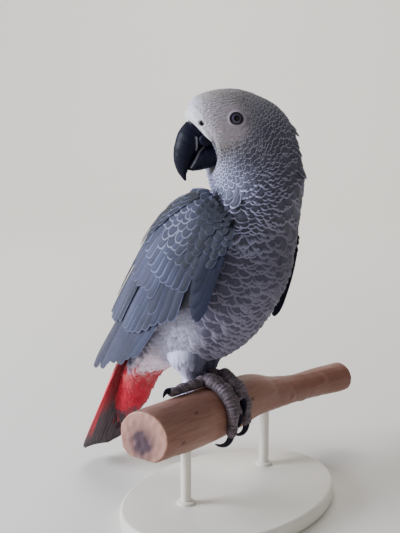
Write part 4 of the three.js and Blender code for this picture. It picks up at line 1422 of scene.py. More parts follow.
def shoulder_tiers():
    """The long narrow feathers along the top of the wing: a dark edge low down all the way, and on the
    shoulder dark ones with pale edges over the coverts. Their dark is painted shade along the wing's top,
    seen edge-on."""
    along = 20 + 7.5 * np.arange(14)
    across = wing_numbers(along)[1] - 2.2 - 2.6 * ease(62, 95, along)
    length = np.clip(along - 2, 10, 34)
    # Both tiers' low shades (0.22 and 0.13) are painted shade along the wing's top edge.
    edge = Tier(across, along, length, 2.8, lean_in(across, along, length), -1.8, -0.3, 0.22, 0.6, 0.06)
    step = np.arange(17)
    along = 13 + 3.4 * step
    across = wing_numbers(along)[1] - 3.6 - 2.7 * (step % 3)
    length = np.clip(along - 2, 9, 28)
    top = Tier(across, along, length, 1.9, lean_in(across, along, length), 0.4, 1.5, 0.13, 1.9, 0.14)
    return edge, top


def dusk_tier():
    """The dark feathers along the front of the wing: partly their own darker tone, partly painted shade
    where the wing's front turns from the window light.
    """
    across = np.array([-21, -18.5, -15, -11, -7])
    along = np.array([71, 69, 63, 55, 47])
    length = np.array([60, 56, 50, 42, 35])
    return Tier(across, along, length, (4.6, 5.4, 5.2, 4.8, 4.4), -11, -1.6, 0.3, 0.8, 1.2, 0.05)


def small_covert_rows(draw):
    """Tips of the small coverts: rows a pitch apart from the wrist, each across the wing.
    Returns across, along and the pitch of each."""
    found = []
    at, row = 4.0, 0
    while at < 54:
        size = np.interp(at, (0, 15, 30, 54), (4.2, 5.4, 6.2, 6.6))
        low, high, *_ = wing_numbers(at)
        floor = np.interp(at, (0, 10, 20, 45, 60), (low + 2, low + 2, -13, -10, -4))
        across = np.arange(floor, high - 1.5, size * 1.02) + (row % 2) * size * 0.51
        along = at + 0.10 * (across - 15) + draw.normal(0, 0.5, len(across))
        found.append((across, along, np.full(len(across), size)))
        at += size * 0.98
        row += 1
    return (np.concatenate(part) for part in zip(*found))


def wing_spot(across, along):
    """A feather's place on the wing's own map."""
    spot = np.stack([(across + 30) / 100, (along + 20) / 215], -1)
    return np.clip(spot, 0.03, 0.97)


def tier_feathers(feathers, name, tier, vane, colour, rim_colour):
    """Lays a tier on a wing: each root lies back from its tip by the length along the lean,
    and each feather a little higher than the one before."""
    count, mirror, draw = len(tier.across), -SIDES[name], feathers.draw
    tier = Tier(*(per_feather(value, count) for value in tier))
    lean = np.radians(tier.lie)
    across = tier.across - tier.length * np.sin(lean)
    along = tier.along - tier.length * np.cos(lean)
    shade = (tier.shade * draw.uniform(0.8, 1.16, count))[:, None]
    cast = 1 + np.array([0.08, 0.0, -0.05]) * draw.uniform(-1, 1, count)[:, None]
    order = np.linspace(0, 0.5, count)
    feathers.add(
        WING_FACE[name], across, along, tier.length * draw.uniform(0.985, 1.015, count), tier.half,
        vane._replace(tilt=vane.tilt * mirror), four(colour * shade * cast, tier.width),
        four(rim_colour * tier.rim[:, None], 0.5 + 0.5 * mirror), wing_spot(across, along),
        lie=lean * mirror + draw.normal(0, 0.012, count), low=tier.low + order, high=tier.high + order,
        patch=(0.01, 0.03),
    )


def small_coverts(feathers, name, slate, rim):
    """Lays the small coverts on a wing, dark along its front: partly their own darker tone, partly painted
    shade.
    """
    draw = feathers.draw
    across, along, pitch = small_covert_rows(draw)
    length = np.minimum(2.9 * pitch, along + 1)
    lean = np.radians(lean_in(across, along, length))
    count = len(across)
    # dark is partly the wrist's own darker feathers, partly painted shade carried on from the shaded front
    # of the wing.
    dark = ease(29, 20, across + 0.28 * along) * ease(58, 46, along)
    middle = mixed(slate * 0.75, slate * 0.22, dark) * draw.uniform(0.8, 1.15, count)[:, None]
    edge = mixed(mixed(slate * 1.9, rim, 0.35), slate * 0.55, dark)
    feathers.add(
        WING_FACE[name], across - length * np.sin(lean), along - length * np.cos(lean), length,
        0.62 * pitch, SMALL_VANE, four(middle, 0.26), four(edge, 0.5), wing_spot(across, along),
        lie=-SIDES[name] * lean + draw.normal(0, 0.06, count), low=np.where(along < 12, -4.0, -2.3),
        high=0.6 + 0.15 * draw.normal(0, 1, count),
    )


def make_wing(settings, colours, name, quill_paint, covert_paint, seed):
    """One folded wing: its long feathers as one piece and its coverts as another."""
    slate, dusk, rim = tints(colours, "slate", "dusk", "rim")
    node = ("wing_" + name,)
    quills = Feathers(settings.seed + seed)
    primaries, secondaries = flight_tiers(WINGS[name]["drawn_in"])
    tier_feathers(quills, name, primaries, QUILL_VANE, slate * 0.9, slate * 1.3)
    tier_feathers(quills, name, secondaries, QUILL_VANE, slate, slate * 1.6)
    quills.piece("quills_" + name, quill_paint, "wing_plumage", node)

    coverts = Feathers(settings.seed + seed + 1)
    tier_feathers(coverts, name, dusk_tier(), COVERT_VANE, dusk, dusk * 2.2)
    for tier in (*covert_tiers(), *shoulder_tiers()):
        tier_feathers(coverts, name, tier, COVERT_VANE, slate, slate * 1.5)
    small_coverts(coverts, name, slate, rim)
    coverts.piece("coverts_" + name, covert_paint, "wing_plumage", node)


# ---- tail and thighs

def make_tail(settings, colours, paint):
    """Twelve tail feathers in a fan, the middle ones on top. Each is as long as its way over
    the tail, summed in 40 steps."""
    feathers = Feathers(settings.seed + 40)
    draw = feathers.draw
    count = TAIL["count"]
    fan = np.linspace(*TAIL_FAN, count)
    aside = np.abs(fan)
    vane = QUILL_VANE._replace(rows=(14, 7), tip=0.87, root=0.9, tilt=0.0, plate=0.3, bulge=0.09)
    start = np.full(count, 0.35)
    end = 3 - TAIL["shorter"] * fan**2 / TAIL["last_row"] - 0.11 - 0.15 * ease(0.58, 0.84, aside)
    way = tail_place(fan, start + (end - start) * np.arange(41)[:, None] / 40)
    bow = 0.15 * np.sign(fan) * ease(0.35, 0.84, aside)
    sunk = -0.6 - 2.0 * aside
    # Painted light: besides a random tone, the near outer feathers are brightened where the tail lies in
    # shade.
    tone_and_painted_light = draw.uniform(0.9, 1.08, count) + 0.5 * ease(-0.45, -0.75, fan)
    red = np.tile(np.array(colours.red), (count, 1))
    turning = np.interp(fan, (-0.84, -0.7, 0, 0.74), (0.84, 0.62, 0.55, 0.5))
    feathers.add(
        TAIL_TOP, fan, start, gaps(way).sum(0), 6.6, vane, four(red * tone_and_painted_light[:, None], 0.12),
        four(red * 0.8, turning), np.stack([0.06 + 0.88 * (fan + 1) / 2, np.full(count, 0.5)], -1),
        lie=bow, bend=-bow, low=sunk, high=sunk * 0.7, patch=(0.05, 0.9),
    )
    feathers.piece("tail_feathers", paint, "tail_plumage", ("tail",))


def tail_paint(maroon):
    """Tail feathers: red, turning maroon-brown towards the end, further down at the sides."""
    paint = Paint("Tail feather", 0.55, sheen_weight=0.2, sheen_roughness=0.4, specular_ior_level=0.3)
    _, y, out = paint.on_vane()
    grain = paint.noise(1.0, 4, paint.stretched((700, 60, 60)), 0.6)
    depth = paint.minus(paint.plus(y, paint.line(grain, 0.12, -0.06)), paint.times(out, 0.07))
    start = paint.attribute("rim")["Alpha"]
    dark = paint.range(depth, paint.minus(start, 0.1), paint.plus(start, 0.08))
    colour = paint.mix(dark, paint.attribute("middle")["Color"], maroon)
    lines = paint.waves(paint.line(y, 210, paint.times(out, -40)))
    veil = paint.line(paint.times(lines, grain), 0.3, 0.82)
    colour = paint.shaded(colour, paint.times(veil, paint.range(grain, 0.35, 0.65, 0.7, 1.25)))
    colour = paint.mix(paint.range(out, 0.06, 0.02, 0.0, 0.5), colour, dimmed(maroon, 0.5))
    edge = paint.times(paint.range(out, 0.72, 0.98, 0.0, 0.5), dark)
    return paint.done(paint.mix(edge, colour, dimmed(maroon, 2.4)), paint.bump(lines, 0.00015, 0.6))


def make_thighs(settings, colours, paint):
    """Soft feathers of both thighs: pale, grey on the side turned in towards the belly as painted shade, and
    brighter and bluish on the side turned out as a painted highlight.
    """
    feathers = Feathers(settings.seed + 50)
    draw = feathers.draw
    stops = ((0, 5.0), (2, 4.4), (4, 3.0))
    for name, side in SIDES.items():
        u, v, pitch = coat_rows(
            THIGH_FACE[name], lambda u, v: by_row(stops, v), (0.1, 3.95), lambda u, v: 0 * u + 1.15,
            (181, 121),
        )
        count = len(u)
        pale = np.array(colours.pale) * draw.uniform(0.8, 1.02, count)[:, None]
        # inner: how far a feather faces in towards the belly. The grey mixed in there is painted shade, and
        # the brightening with a bluish tint where it faces out is a painted highlight.
        inner = -side * LOOK[1] * np.sin(TURN * u) - LOOK[0] * np.cos(TURN * u)
        shade = ease(-0.35, 0.45, inner) * ease(3.9, 3.2, v)
        pale = mixed(pale, dimmed(colours.grey, 1.4), shade)
        pale = pale * (1 + 0.5 * ease(-0.2, -0.8, inner))[:, None] * np.array([0.96, 0.99, 1.08])
        lie = draw.normal(0, 0.07, count)
        puffed = 1.6 * ease(0.1, -0.7, inner) * ease(1.2, 2.8, v)
        high = draw.uniform(-0.4, 0.2, count) + puffed + 4.2 * ease(3.0, 3.9, v)
        at = np.stack([0.02 + 0.46 * u + (0.5 if name == "left" else 0), 0.03 + 0.94 * v / 4], -1)
        feathers.add(
            THIGH_FACE[name], u, v, 4.8 * pitch * (1 + 0.45 * ease(2.8, 3.9, v)), 0.52 * pitch,
            DOWN_VANE, four(pale * 0.9, 0.4), four(pale, 1), at, lie=lie, high=high,
        )
    feathers.piece("thigh_feathers", paint, "plumage", ("thigh_left", "thigh_right"))


# ---- bill, cere and eyes

def bill_rings(table, rows, columns, ridge):
    """Rings of a bill: between the top and low points of each row, an oval reaching half to
    each side, drawn in beside the ridge by ridge cos a where that is above 0."""
    numbers = spline(table, np.linspace(0, len(table) - 1, rows))
    top = head_place(numbers[:, 0], numbers[:, 1])
    low = head_place(numbers[:, 2], numbers[:, 3])
    a = turns(columns)[..., None]
    middle, up = ((top + low) / 2)[:, None], ((top - low) / 2)[:, None]
    reach = numbers[:, 4][:, None, None] * (1 - ridge * np.maximum(np.cos(a), 0))
    return middle + up * np.cos(a) + BESIDE * reach * np.sin(a)


def near_line(places, start, end, width):
    """1 on a line in the head's upright plane, falling off as a bell curve of this width."""
    spot = np.stack(in_head(places)[:2], -1)
    start, end = np.asarray(start, float), np.asarray(end, float)
    share = np.clip(((spot - start) @ (end - start)) / ((end - start) @ (end - start)), 0, 1)
    apart = np.linalg.norm(spot - start - share[..., None] * (end - start), axis=-1)
    return bell(apart / width)


def make_bill(colours):
    """Both halves of the bill, each with faint bands of growth and a pale line, on the lower bill a painted
    highlight along its cutting edge.
    """
    horn = horn_paint("Bill horn", colours.horn)
    rows, columns = 110, 96
    row, angle = np.linspace(0, 1, rows)[:, None, None], turns(columns)[..., None]
    band = 0.05 * np.sin(34 * row + 1.5 * np.sin(angle)) + 0.04 * np.sin(61 * row + 2 * np.cos(angle))
    band = band * ease(1.0, 0.85, row)
    for name, table, ridge in (("upper_bill", UPPER_BILL_ROWS, 0.25), ("lower_bill", LOWER_BILL_ROWS, 0)):
        rings = bill_rings(table, rows, columns, ridge)
        shape = closed_tube(rings + unit(rings - rings.mean(1, keepdims=True)) * band)
        if name == "upper_bill":
            shape = merged([shape, *(bill_lobe(side) for side in SIDES.values())])
            streak = ease(0.25, 0.75, near_line(shape[0], (42.3, 40.5), (41.2, 32.5), 0.7))
        else:
            # The lower bill's pale line is a painted highlight along its cutting edge.
            streak = near_line(shape[0], (44.6, 22), (39.6, 31.5), 0.35)
            streak = np.maximum(streak, near_line(shape[0], (39.6, 31.5), (34.6, 36.6), 0.35))
        piece = new_piece(name + "_horn", shape, horn, (name,), 70)
        point_number(piece, "streak", streak)


def bill_lobe(side):
    """The rounded black corner of the upper bill, under the cere: a squashed ball."""
    centre = head_place(36.6, 38.8, side * 9.2)
    ahead = unit(head_place(1, 0.45) - head_place(0, 0))
    up = unit(head_place(-0.45, 1) - head_place(0, 0))
    beside = head_place(0, 0, side) - head_place(0, 0)
    polar = np.linspace(0.03, math.pi - 0.03, 20)[:, None, None]
    around = turns(32)[..., None]
    ring = ahead * 4.4 * np.cos(around) + up * 3.9 * np.sin(around)
    return closed_tube(centre + beside * 2.4 * np.cos(polar) + ring * np.sin(polar))


def make_cere(colours):
    """The cere: a saddle of skin over the bill's base, along the head's outline, its front
    edge rolled down to the horn and its back edge sunk under the coat, with a nostril sunk in
    as a bell curve on each side."""
    u, v = paired(np.linspace(CROWN - 0.27, CROWN + 0.27, 150)[None, :], np.linspace(-0.5, 1.5, 70)[:, None])
    front = np.clip(v, 0, None)
    place = body_place(u, front) + np.minimum(v, 0)[..., None] * (body_place(u, 0.3) - body_place(u, 0))
    normal = BODY.slopes(u, front)[2]
    lift = 0.25 + 0.25 * ease(0.0, 0.5, v) - 1.3 * ease(0.9, 1.5, v)
    lift = lift - 1.2 * ease(0.0, -0.5, v)
    lift = lift - 1.0 * ease(0.21, 0.27, np.abs(u - CROWN))
    hole = np.zeros(u.shape)
    for side in SIDES.values():
        apart = np.linalg.norm(place - body_place(*face_spot(*NOSTRIL, side)), axis=-1)
        hole = np.maximum(hole, ease(2.15, 1.35, apart))
        lift = lift - 2.5 * bell(apart / 1.4) + 0.35 * bell((apart - 2.6) / 0.6)
    outer = place + lift[..., None] * normal
    inner = place - 1.6 * normal - (2.2 * hole)[..., None] * normal
    turn = np.cross(outer[30, 41] - outer[30, 40], outer[31, 40] - outer[30, 40]) @ normal[30, 40]
    if turn < 0:
        outer, inner, hole = outer[:, ::-1], inner[:, ::-1], hole[:, ::-1]
    skin = cere_paint(colours.face)
    piece = new_piece("cere_skin", closed_plate(outer, inner), skin, ("cere",), 75)
    point_number(piece, "hole", np.tile(hole.ravel(), 2))


def round_axis(centre, look, radius, height, angle):
    """Places round an axis: centre plus look times height plus radius round it."""
    side = unit(np.cross(look, (0, 0, 1.0)))
    up = np.cross(side, look)
    ring = side * np.cos(angle)[..., None] + up * np.sin(angle)[..., None]
    return centre + look * height[..., None] + ring * radius[..., None]


# The eyelid's section: out from the eye's axis and forward from its middle.
LID_SECTION = np.array([
    (3.35, 3.4), (3.28, 3.95), (3.5, 4.4), (3.9, 4.52), (4.35, 4.35), (4.9, 3.95), (5.6, 3.45),
    (6.4, 2.85), (7.0, 2.2), (6.8, 1.2), (5.4, 1.2), (4.2, 2.2),
])


def make_eyes(colours):
    """Both eyeballs, each a ball with a slightly raised cornea, and their lids, a soft ring
    round each."""
    ball_paint, skin = eye_paint(colours.iris), lid_paint(colours.face)
    around = turns(96)
    polar = np.concatenate([np.linspace(0.02, 1.2, 40), np.linspace(1.3, math.pi - 0.02, 16)])[:, None]
    radius = EYE["radius"] + 0.3 * bell(polar / 0.5)
    ring, depth, angle = paired(radius * np.sin(polar), radius * np.cos(polar), around)
    section = np.concatenate([LID_SECTION, LID_SECTION[:3]])
    loop = spline(section, np.linspace(1, len(LID_SECTION) + 1, 60, endpoint=False))
    out, ahead = loop[:, :1], loop[:, 1:]
    almond = out * (1 + 0.05 * np.cos(2 * around) - 0.02 * np.sin(3 * around))
    folds = 0.05 * np.sin(40 * around) * ease(3.2, 4.5, out) * ease(6.5, 5, out)
    for name, side in SIDES.items():
        centre, look = eye_axis(-side)
        shape = closed_tube(round_axis(centre, look, ring, depth, angle))
        ball = new_piece("eyeball_" + name, shape, ball_paint, ("eye_" + name,), 80)
        point_number(ball, "ring", np.concatenate([ring.ravel(), [0, 0]]))
        lid = round_axis(centre, look, almond, ahead + folds, around + 0 * almond)
        rows, columns = lid.shape[:2]
        quads = grid_faces(rows + 1, columns, True) % (rows * columns)
        if np.cross(lid[3, 1] - lid[3, 0], lid[4, 0] - lid[3, 0]) @ look < 0:
            quads = quads[:, ::-1]
        shape = (lid.reshape(-1, 3), quads.ravel(), np.full(len(quads), 4))
        piece = new_piece("eyelid_" + name, shape, skin, (), 80)
        point_number(piece, "ring", np.repeat(out, columns))


# ---- perch and feet

def perch_line(x):
    """The perch's middle line and radius at x: y, z and radius."""
    at = np.interp(x, PERCH_ROWS[:, 0], np.arange(len(PERCH_ROWS)))
    return np.moveaxis(spline(PERCH_ROWS, at), -1, 0)[1:]


def perch_place(x, angle, lift=0.0):
    """A place over the perch: at x, out from its middle line by its radius at an angle round
    it, 0 at the top and 90 to the front, no further than the flat split side."""
    x, angle, lift = paired(x, angle, lift)
    y, z, radius = perch_line(x)
    a = np.radians(angle)
    facing = np.maximum(np.cos(a - PERCH_FLAT["angle"]), PERCH_FLAT["least"])
    out = np.minimum(radius, PERCH_FLAT["share"] * radius / facing) + lift
    return np.stack([x, y - out * np.sin(a), z + out * np.cos(a)], -1)


def branch_place(x, angle):
    """The perch's outline as seen: as perch_place over the top; below, near the thick end,
    two flat sides meet in a blunt corner under the back."""
    x, angle = paired(x, angle)
    place = perch_place(x, angle)
    y, z, radius = perch_line(x)
    a = np.radians(angle)
    out = np.ones(a.shape)
    for facing, share in ((-96, 0.93), (-176, 0.86)):
        out = np.minimum(out, share / np.maximum(np.cos(a - math.radians(facing)), 0.1))
    flat = np.stack([x, y - radius * out * np.sin(a), z + radius * out * np.cos(a)], -1)
    return place + (flat - place) * ease(-18, -40, x)[..., None]


def waves(places, sizes, draw, count=5):
    """A smooth uneven height in -1 to 1: the mean of sine waves of random slant and start,
    each about its size long."""
    total = 0
    for size in sizes:
        for _ in range(count):
            way = draw.normal(0, 1, 3) * TURN / size / 2
            total = total + np.sin(places @ way + draw.uniform(0, TURN)) * size / max(sizes)
    return total / (count * len(sizes)) * 1.6


def make_perch(colours):
    """The perch: the cut branch with a bevelled flat face at each end, and a skin of soft
    lumps, hollows and knots. shares are how far out each ring lies, ends where it lies."""
    draw = np.random.default_rng(11)
    columns = 128
    x0, x1 = PERCH_ROWS[0, 0], PERCH_ROWS[-1, 0]
    shares = np.concatenate([
        np.linspace(0.02, 0.94, 40), [0.965, 0.985, 1.0], np.ones(220), [1.0, 0.965, 0.93],
        np.linspace(0.9, 0.03, 10),
    ])
    ends = np.concatenate([
        np.full(40, x0 - 1.5), [x0 - 1.3, x0 - 0.7, x0], np.linspace(x0 + 0.7, x1 - 0.7, 220),
        [x1, x1 + 0.6, x1 + 1.3], np.full(10, x1 + 1.5),
    ])
    on = np.clip(ends, x0, x1)[:, None]
    ring = branch_place(on, np.linspace(0, 360, columns, endpoint=False))
    middle = ring.mean(1, keepdims=True)
    out = unit(ring - middle)
    lumps = 0.5 * waves(ring, (26, 11), draw) + 0.12 * waves(ring * np.array([0.3, 1, 1]), (3.5,), draw)
    for x, angle, size, height in PERCH_KNOTS:
        lumps = lumps + height * bell(np.linalg.norm(ring - perch_place(x, angle), axis=-1) / size)
    calm = ease(-40, -46, on) + ease(40, 46, on)
    lumps = np.where(np.abs(on) < 48, lumps * np.clip(calm, 0.25, 1) - 0.12, lumps - 0.3)
    ring = ring + out * lumps[..., None]
    place = middle + (ring - middle) * shares[:, None, None]
    place[..., 0] = ends[:, None]
    lean = ease(-50, x0, ends)[:, None]
    place[..., 0] -= PERCH_SLANT * (place[..., 1] - PERCH_ROWS[0, 1]) * lean
    cut = np.where((ends < x0 + 1) & (shares < 0.97), 1.0, 0.0)[:, None] * np.ones(columns)
    place[..., 0] += cut * 0.18 * waves(place * np.array([0, 1, 0.4]), (2.2,), draw)
    shape = closed_tube(place)
    points = shape[0]
    y, z = points[:, 1] - PERCH_ROWS[0, 1], points[:, 2] - PERCH_ROWS[0, 2]
    blotch = waves(points * np.array([0, 1, 1]), (7, 3), draw)
    heart = bell((y - 1) / 11, (z + 3.5) / 13) * (1.0 + 0.35 * blotch)
    crack = bell((y + 1.4 + 0.15 * z + 0.5 * blotch) / 0.55) * ease(8, 3, np.abs(z + 5))
    stain = np.clip(1.15 * heart**1.4 + 0.4 * crack, 0, 0.95)
    bare = np.maximum(np.concatenate([cut.ravel(), [1, 1]]), points[:, 0] > x1 + 0.9)
    wood = wood_paint(colours.wood, colours.heart)
    piece = new_piece("perch_branch", shape, wood, ("perch",), 50)
    point_colour(piece, "end", np.stack([stain, stain, stain, bare], -1))


def toe_path(toe, shares, lift):
    """A toe's way over the perch: its x and angle move evenly along it."""
    x = toe.x[0] + (toe.x[1] - toe.x[0]) * shares
    angle = toe.angle[0] + (toe.angle[1] - toe.angle[0]) * shares
    return perch_place(x, angle, lift)


def tube_along(path, base, tall, wide):
    """A closed tube with its rings square to a path: at each place on the path, tall along the
    way up from the base under it, and wide across."""
    along, away = unit(np.gradient(path, axis=0)), path - base
    up = unit(away - (away * along).sum(-1, keepdims=True) * along)
    across = np.cross(up, along)
    return closed_tube(path[:, None] + up[:, None] * tall[..., None] + across[:, None] * wide[..., None])


def toe_marks(points, toes):
    """Where a foot's plates meet: 1 in the furrow, from the place of the nearest step on the
    nearest toe's way."""
    shares, lift = np.linspace(-0.03, 1.09, 90), 3.5
    nearest, furrow = np.full(len(points), np.inf), np.zeros(len(points))
    for toe in toes:
        path = toe_path(toe, shares, lift)
        apart = (points**2).sum(1)[:, None] + (path**2).sum(1) - 2 * points @ path.T
        spot = apart.argmin(1)
        apart = apart.min(1)
        base = toe_path(toe, shares, 0.0)[spot]
        top = ((points - path[spot]) * unit(path[spot] - base)).sum(1) / lift
        mark = 1 - np.abs(np.sin(math.pi * shares[spot] * gaps(path).sum() / PLATE)) ** 0.5
        furrow = np.where(apart < nearest, mark * ease(0.0, 0.3, top), furrow)
        nearest = np.minimum(nearest, apart)
    return furrow


def toe_tube(toe):
    """One toe: a tube along its way, wider at its pads, flattened under, with broad plates
    across its top and small beads on its sides and pads."""
    s, a = np.linspace(-0.03, 1.09, 150), turns(56)
    full = np.interp(s, (0, 1), toe.radius)
    pads = 1 + 0.08 * np.cos(TURN * 3 * np.clip(s, 0, 1))
    round_end = np.sqrt(np.clip((1.10 - s) / 0.10, 0.02, 1))
    radius = full * pads * np.clip(round_end, 0.1, 1)
    path = toe_path(toe, s, full * pads + TOUCH)
    length = gaps(path).sum()
    top = np.maximum(np.cos(a), 0)
    plate = np.abs(np.sin(math.pi * s[:, None] * length / PLATE)) ** 0.5 * ease(0.1, 0.4, top)
    beads = np.abs(np.sin(math.pi * s[:, None] * length / 1.4) * np.sin(a * 9)) ** 0.7
    r = radius[:, None] + 0.5 * plate + 0.35 * beads * ease(0.4, 0.1, top) - 0.34
    return tube_along(path, toe_path(toe, s, 0.0), r * np.cos(a), r * np.sin(a))


def claw_tube(toe):
    """One claw: a tapering hooked cone that leaves the toe and bends to the wood."""
    t, a = np.linspace(0, 1, 40), turns(28)
    toe_length = np.linalg.norm(toe_path(toe, 2.0, 0.0) - toe_path(toe, 1.0, 0.0))
    s = 1 + (t * (toe.claw + 0.6) - 0.6) / toe_length
    lift = toe.radius[1] + 0.6 + 2.6 * np.sin(math.pi * t * 0.75) - 3.6 * t * t
    radius = (2.35 * (1 - t) ** 0.65 + 0.18)[:, None]
    tall = radius * (1.08 * np.cos(a) - 0.12 * np.abs(np.sin(a)))
    return tube_along(
        toe_path(toe, s, np.maximum(lift, 0.9)), toe_path(toe, s, 0.0), tall, radius * 0.86 * np.sin(a)
    )


def foot_parts(shank, toes):
    """A foot's toes, its shank with small beads, and the ball where they meet."""
    sole = perch_place(shank, 0, LEG["ball"] + TOUCH)
    ankle = np.array([shank, LEG["y"], LEG["z"] + 1.0])
    t, a = np.linspace(0, 1, 40)[:, None, None], turns(48)[..., None]
    radius = LEG["radius"] + 0.2 + 0.9 * t**2 + 0.16 * np.abs(np.sin(a * 8) * np.sin(t * 22))
    right, back = np.array([1.0, 0, 0]), np.array([0, 1.0, 0])
    leg = ankle + (sole - ankle) * t + radius * (right * np.cos(a) + (back + 0.3 * UP) * np.sin(a))
    polar = np.linspace(0.03, math.pi - 0.03, 24)[:, None, None]
    around = right * np.cos(a) + back * np.sin(a)
    ball = sole + LEG["ball"] * (UP * np.cos(polar) + around * np.sin(polar))
    return [*map(toe_tube, toes), closed_tube(leg), closed_tube(ball)]


def make_feet(colours):
    """Both feet, each one skin over its toes and shank, and their eight claws."""
    skin = scale_paint(colours.scale)
    horn = horn_paint("Claw horn", colours.horn)
    for name, (shank, toes) in FEET.items():
        shape = remeshed("foot", foot_parts(shank, toes), VOXEL["foot"], 1)
        piece = new_piece("foot_skin_" + name, shape, skin, ("foot_" + name,), 80)
        point_number(piece, "furrow", toe_marks(shape[0], toes))
        for toe in toes:
            node = "claw_" + name + "_" + toe.name
            claw = new_piece(node + "_horn", claw_tube(toe), horn, (node,), 70)
            point_number(claw, "streak", np.zeros(len(claw.data.vertices)))


# ---- stand and stage

def make_stand(colours):
    """The display stand: an oval base with a rounded edge, and two rods with a small collar
    at the foot of each."""
    paint = stand_paint(colours.paint)
    a = turns(160)
    high, edge = BASE["thickness"], BASE["round"]
    corner = np.linspace(0, math.pi / 2, 9)
    rise, fall = edge * np.sin(corner), edge * np.cos(corner)
    inset = np.concatenate([[60, 40, 20], edge - rise, edge - fall, [20, 40, 60]])[:, None]
    level = np.concatenate([[0, 0, 0], edge - fall, high - edge + rise, [high] * 3])[:, None]
    x, y = (BASE["half_length"] - inset) * np.cos(a), (BASE["half_width"] - inset) * np.sin(a)
    ring = np.stack([x, y, level + 0 * a], -1)
    new_piece("stand_foot", closed_tube(ring), paint, ("stand_base",), 40)
    rod = ROD["radius"]
    out = np.array([6.2, 6.2, 5.7, 3.9, rod, rod, rod, rod - 0.4])[:, None]
    a = turns(64)
    for number, x in enumerate(ROD["x"], 1):
        _, y, under = perch_place(x, 180)
        top = under + ROD["sunk"]
        level = np.array([high - 0.4, high + 1.2, high + 1.8, high + 2.0, high + 2.4])
        level = np.append(level, [under - 2, top - 0.6, top - 0.2])
        ring = np.stack([x + out * np.cos(a), y + out * np.sin(a), level[:, None] + 0 * a], -1)
        name = "stand_post_%d" % number
        new_piece(name, closed_tube(ring), paint, ("stand_rod_%d" % number,), 40)


def make_stage(stage):
    """A pale floor that bends up into a backdrop, three soft lights and the camera."""
    near, far, radius, half = (FLOOR[key] for key in ("near", "bend", "radius", "half"))
    bend = np.linspace(0, math.pi / 2, 24)[1:]
    depth = np.concatenate([np.linspace(near, far, 30), far + radius * np.sin(bend)])
    depth = np.append(depth, np.full(10, far + radius))
    height = np.concatenate([np.zeros(30), radius - radius * np.cos(bend), np.linspace(*FLOOR["wall"], 10)])
    across = np.linspace(-half, half, 40)
    depth, across = np.meshgrid(depth, across, indexing="ij")
    x, y = LOOK[0] * depth + LOOK[1] * across, LOOK[1] * depth - LOOK[0] * across
    sheet = np.stack([x, y, height[:, None] + 0 * x], -1)
    quads = grid_faces(*x.shape, False)[:, ::-1]
    floor = new_object("backdrop", (sheet.reshape(-1, 3), quads.ravel(), np.full(len(quads), 4)))
    floor.data.shade_smooth()
    floor.data.materials.append(backdrop_paint(stage.backdrop))

    for name, place, aim, size, colour in LIGHTS:
        lamp = bpy.data.lights.new(name, "AREA")
        lamp.shape = "DISK"
        lamp.size = size
        lamp.energy = getattr(stage, name)
        lamp.color = colour
        put(name, lamp, place, np.subtract(aim, place))
    world = bpy.data.worlds.new("studio")
    bpy.context.scene.world = world
    world.use_nodes = True
    back = world.node_tree.nodes["Background"]
    back.inputs["Color"].default_value = (0.93, 0.95, 1.0, 1)
    back.inputs["Strength"].default_value = stage.sky

    camera = bpy.data.cameras.new("camera")
    camera.lens = stage.lens
    camera.sensor_width = 36
    camera.clip_end = 20
    bpy.context.scene.camera = put("camera", camera, CAMERA["place"], CAMERA["way"])


def put(name, data, place, way):
    """A light or camera in the scene, looking along a way."""
    made = linked(name, data)
    made.location = place
    made.rotation_euler = direction(way)
    return made


def direction(way):
    """The turns that make an object look along a way with its top up."""
    x, y, z = way
    flat = math.hypot(x, y)
    return (math.atan2(flat, -z), 0.0, math.atan2(-x, y))


# ---- operators

class PARROT_OT_stage(bpy.types.Operator):
    """Sets up the floor, the lights and the camera"""

    bl_idname = "parrot.stage"
    bl_label = "Stage"

    def execute(self, context):
        make_stage(context.scene.parrot_stage)
        return {"FINISHED"}


class PARROT_OT_skin(bpy.types.Operator):
    """Makes the one skin under the whole coat"""

    bl_idname = "parrot.skin"
    bl_label = "Skin"

    def execute(self, context):
        make_skin(context.scene.parrot_colours)
        return {"FINISHED"}


class PARROT_OT_head(bpy.types.Operator):
    """Makes the bill, the cere, the eyes and their lids"""

    bl_idname = "parrot.head"
    bl_label = "Bill, Cere and Eyes"

    def execute(self, context):
        colours = context.scene.parrot_colours
        make_bill(colours)
        make_cere(colours)
        make_eyes(colours)
        return {"FINISHED"}


class PARROT_OT_coat(bpy.types.Operator):
    """Lays the body feathers over the head, neck, trunk and thighs"""

    bl_idname = "parrot.coat"
    bl_label = "Body Feathers"

    def execute(self, context):
        settings, colours = context.scene.parrot_coat, context.scene.parrot_colours
        fine = plume_paint("Head feather", HEAD_VANE.tip, 0.14, 14, crescent=0.25, fray=0.08)
        scaled = plume_paint("Neck feather", NECK_VANE.tip, 0.05, 26, crescent=0.4)
        broad = plume_paint("Body feather", BODY_VANE.tip, 0.17, 26, crescent=0.3, fray=0.14, streak=0.2)
        downy = plume_paint("Thigh feather", DOWN_VANE.tip, 0.2, 20, crescent=0.1, fray=0.12, streak=0.15)
        for name, rings, vane, paint, seed, keep in (
            ("coat_head", (0, NAPE), HEAD_VANE, fine, 1, face_kept),
            ("coat_neck", (NAPE, NECK_BASE), NECK_VANE, scaled, 2, all_kept),
            ("coat_breast", (NECK_BASE, VENT), BODY_VANE, broad, 3, breast_kept),
            ("coat_back", (NECK_BASE, VENT), BODY_VANE, broad, 6, back_kept),
            ("coat_flank", (NECK_BASE, VENT), DOWN_VANE, downy, 5, flank_kept),
            ("coat_vent", (VENT, BODY_END), DOWN_VANE, downy, 4, all_kept),
        ):
            body_feathers(settings, colours, name, rings, vane, paint, seed, keep)
        make_thighs(settings, colours, downy)
        return {"FINISHED"}


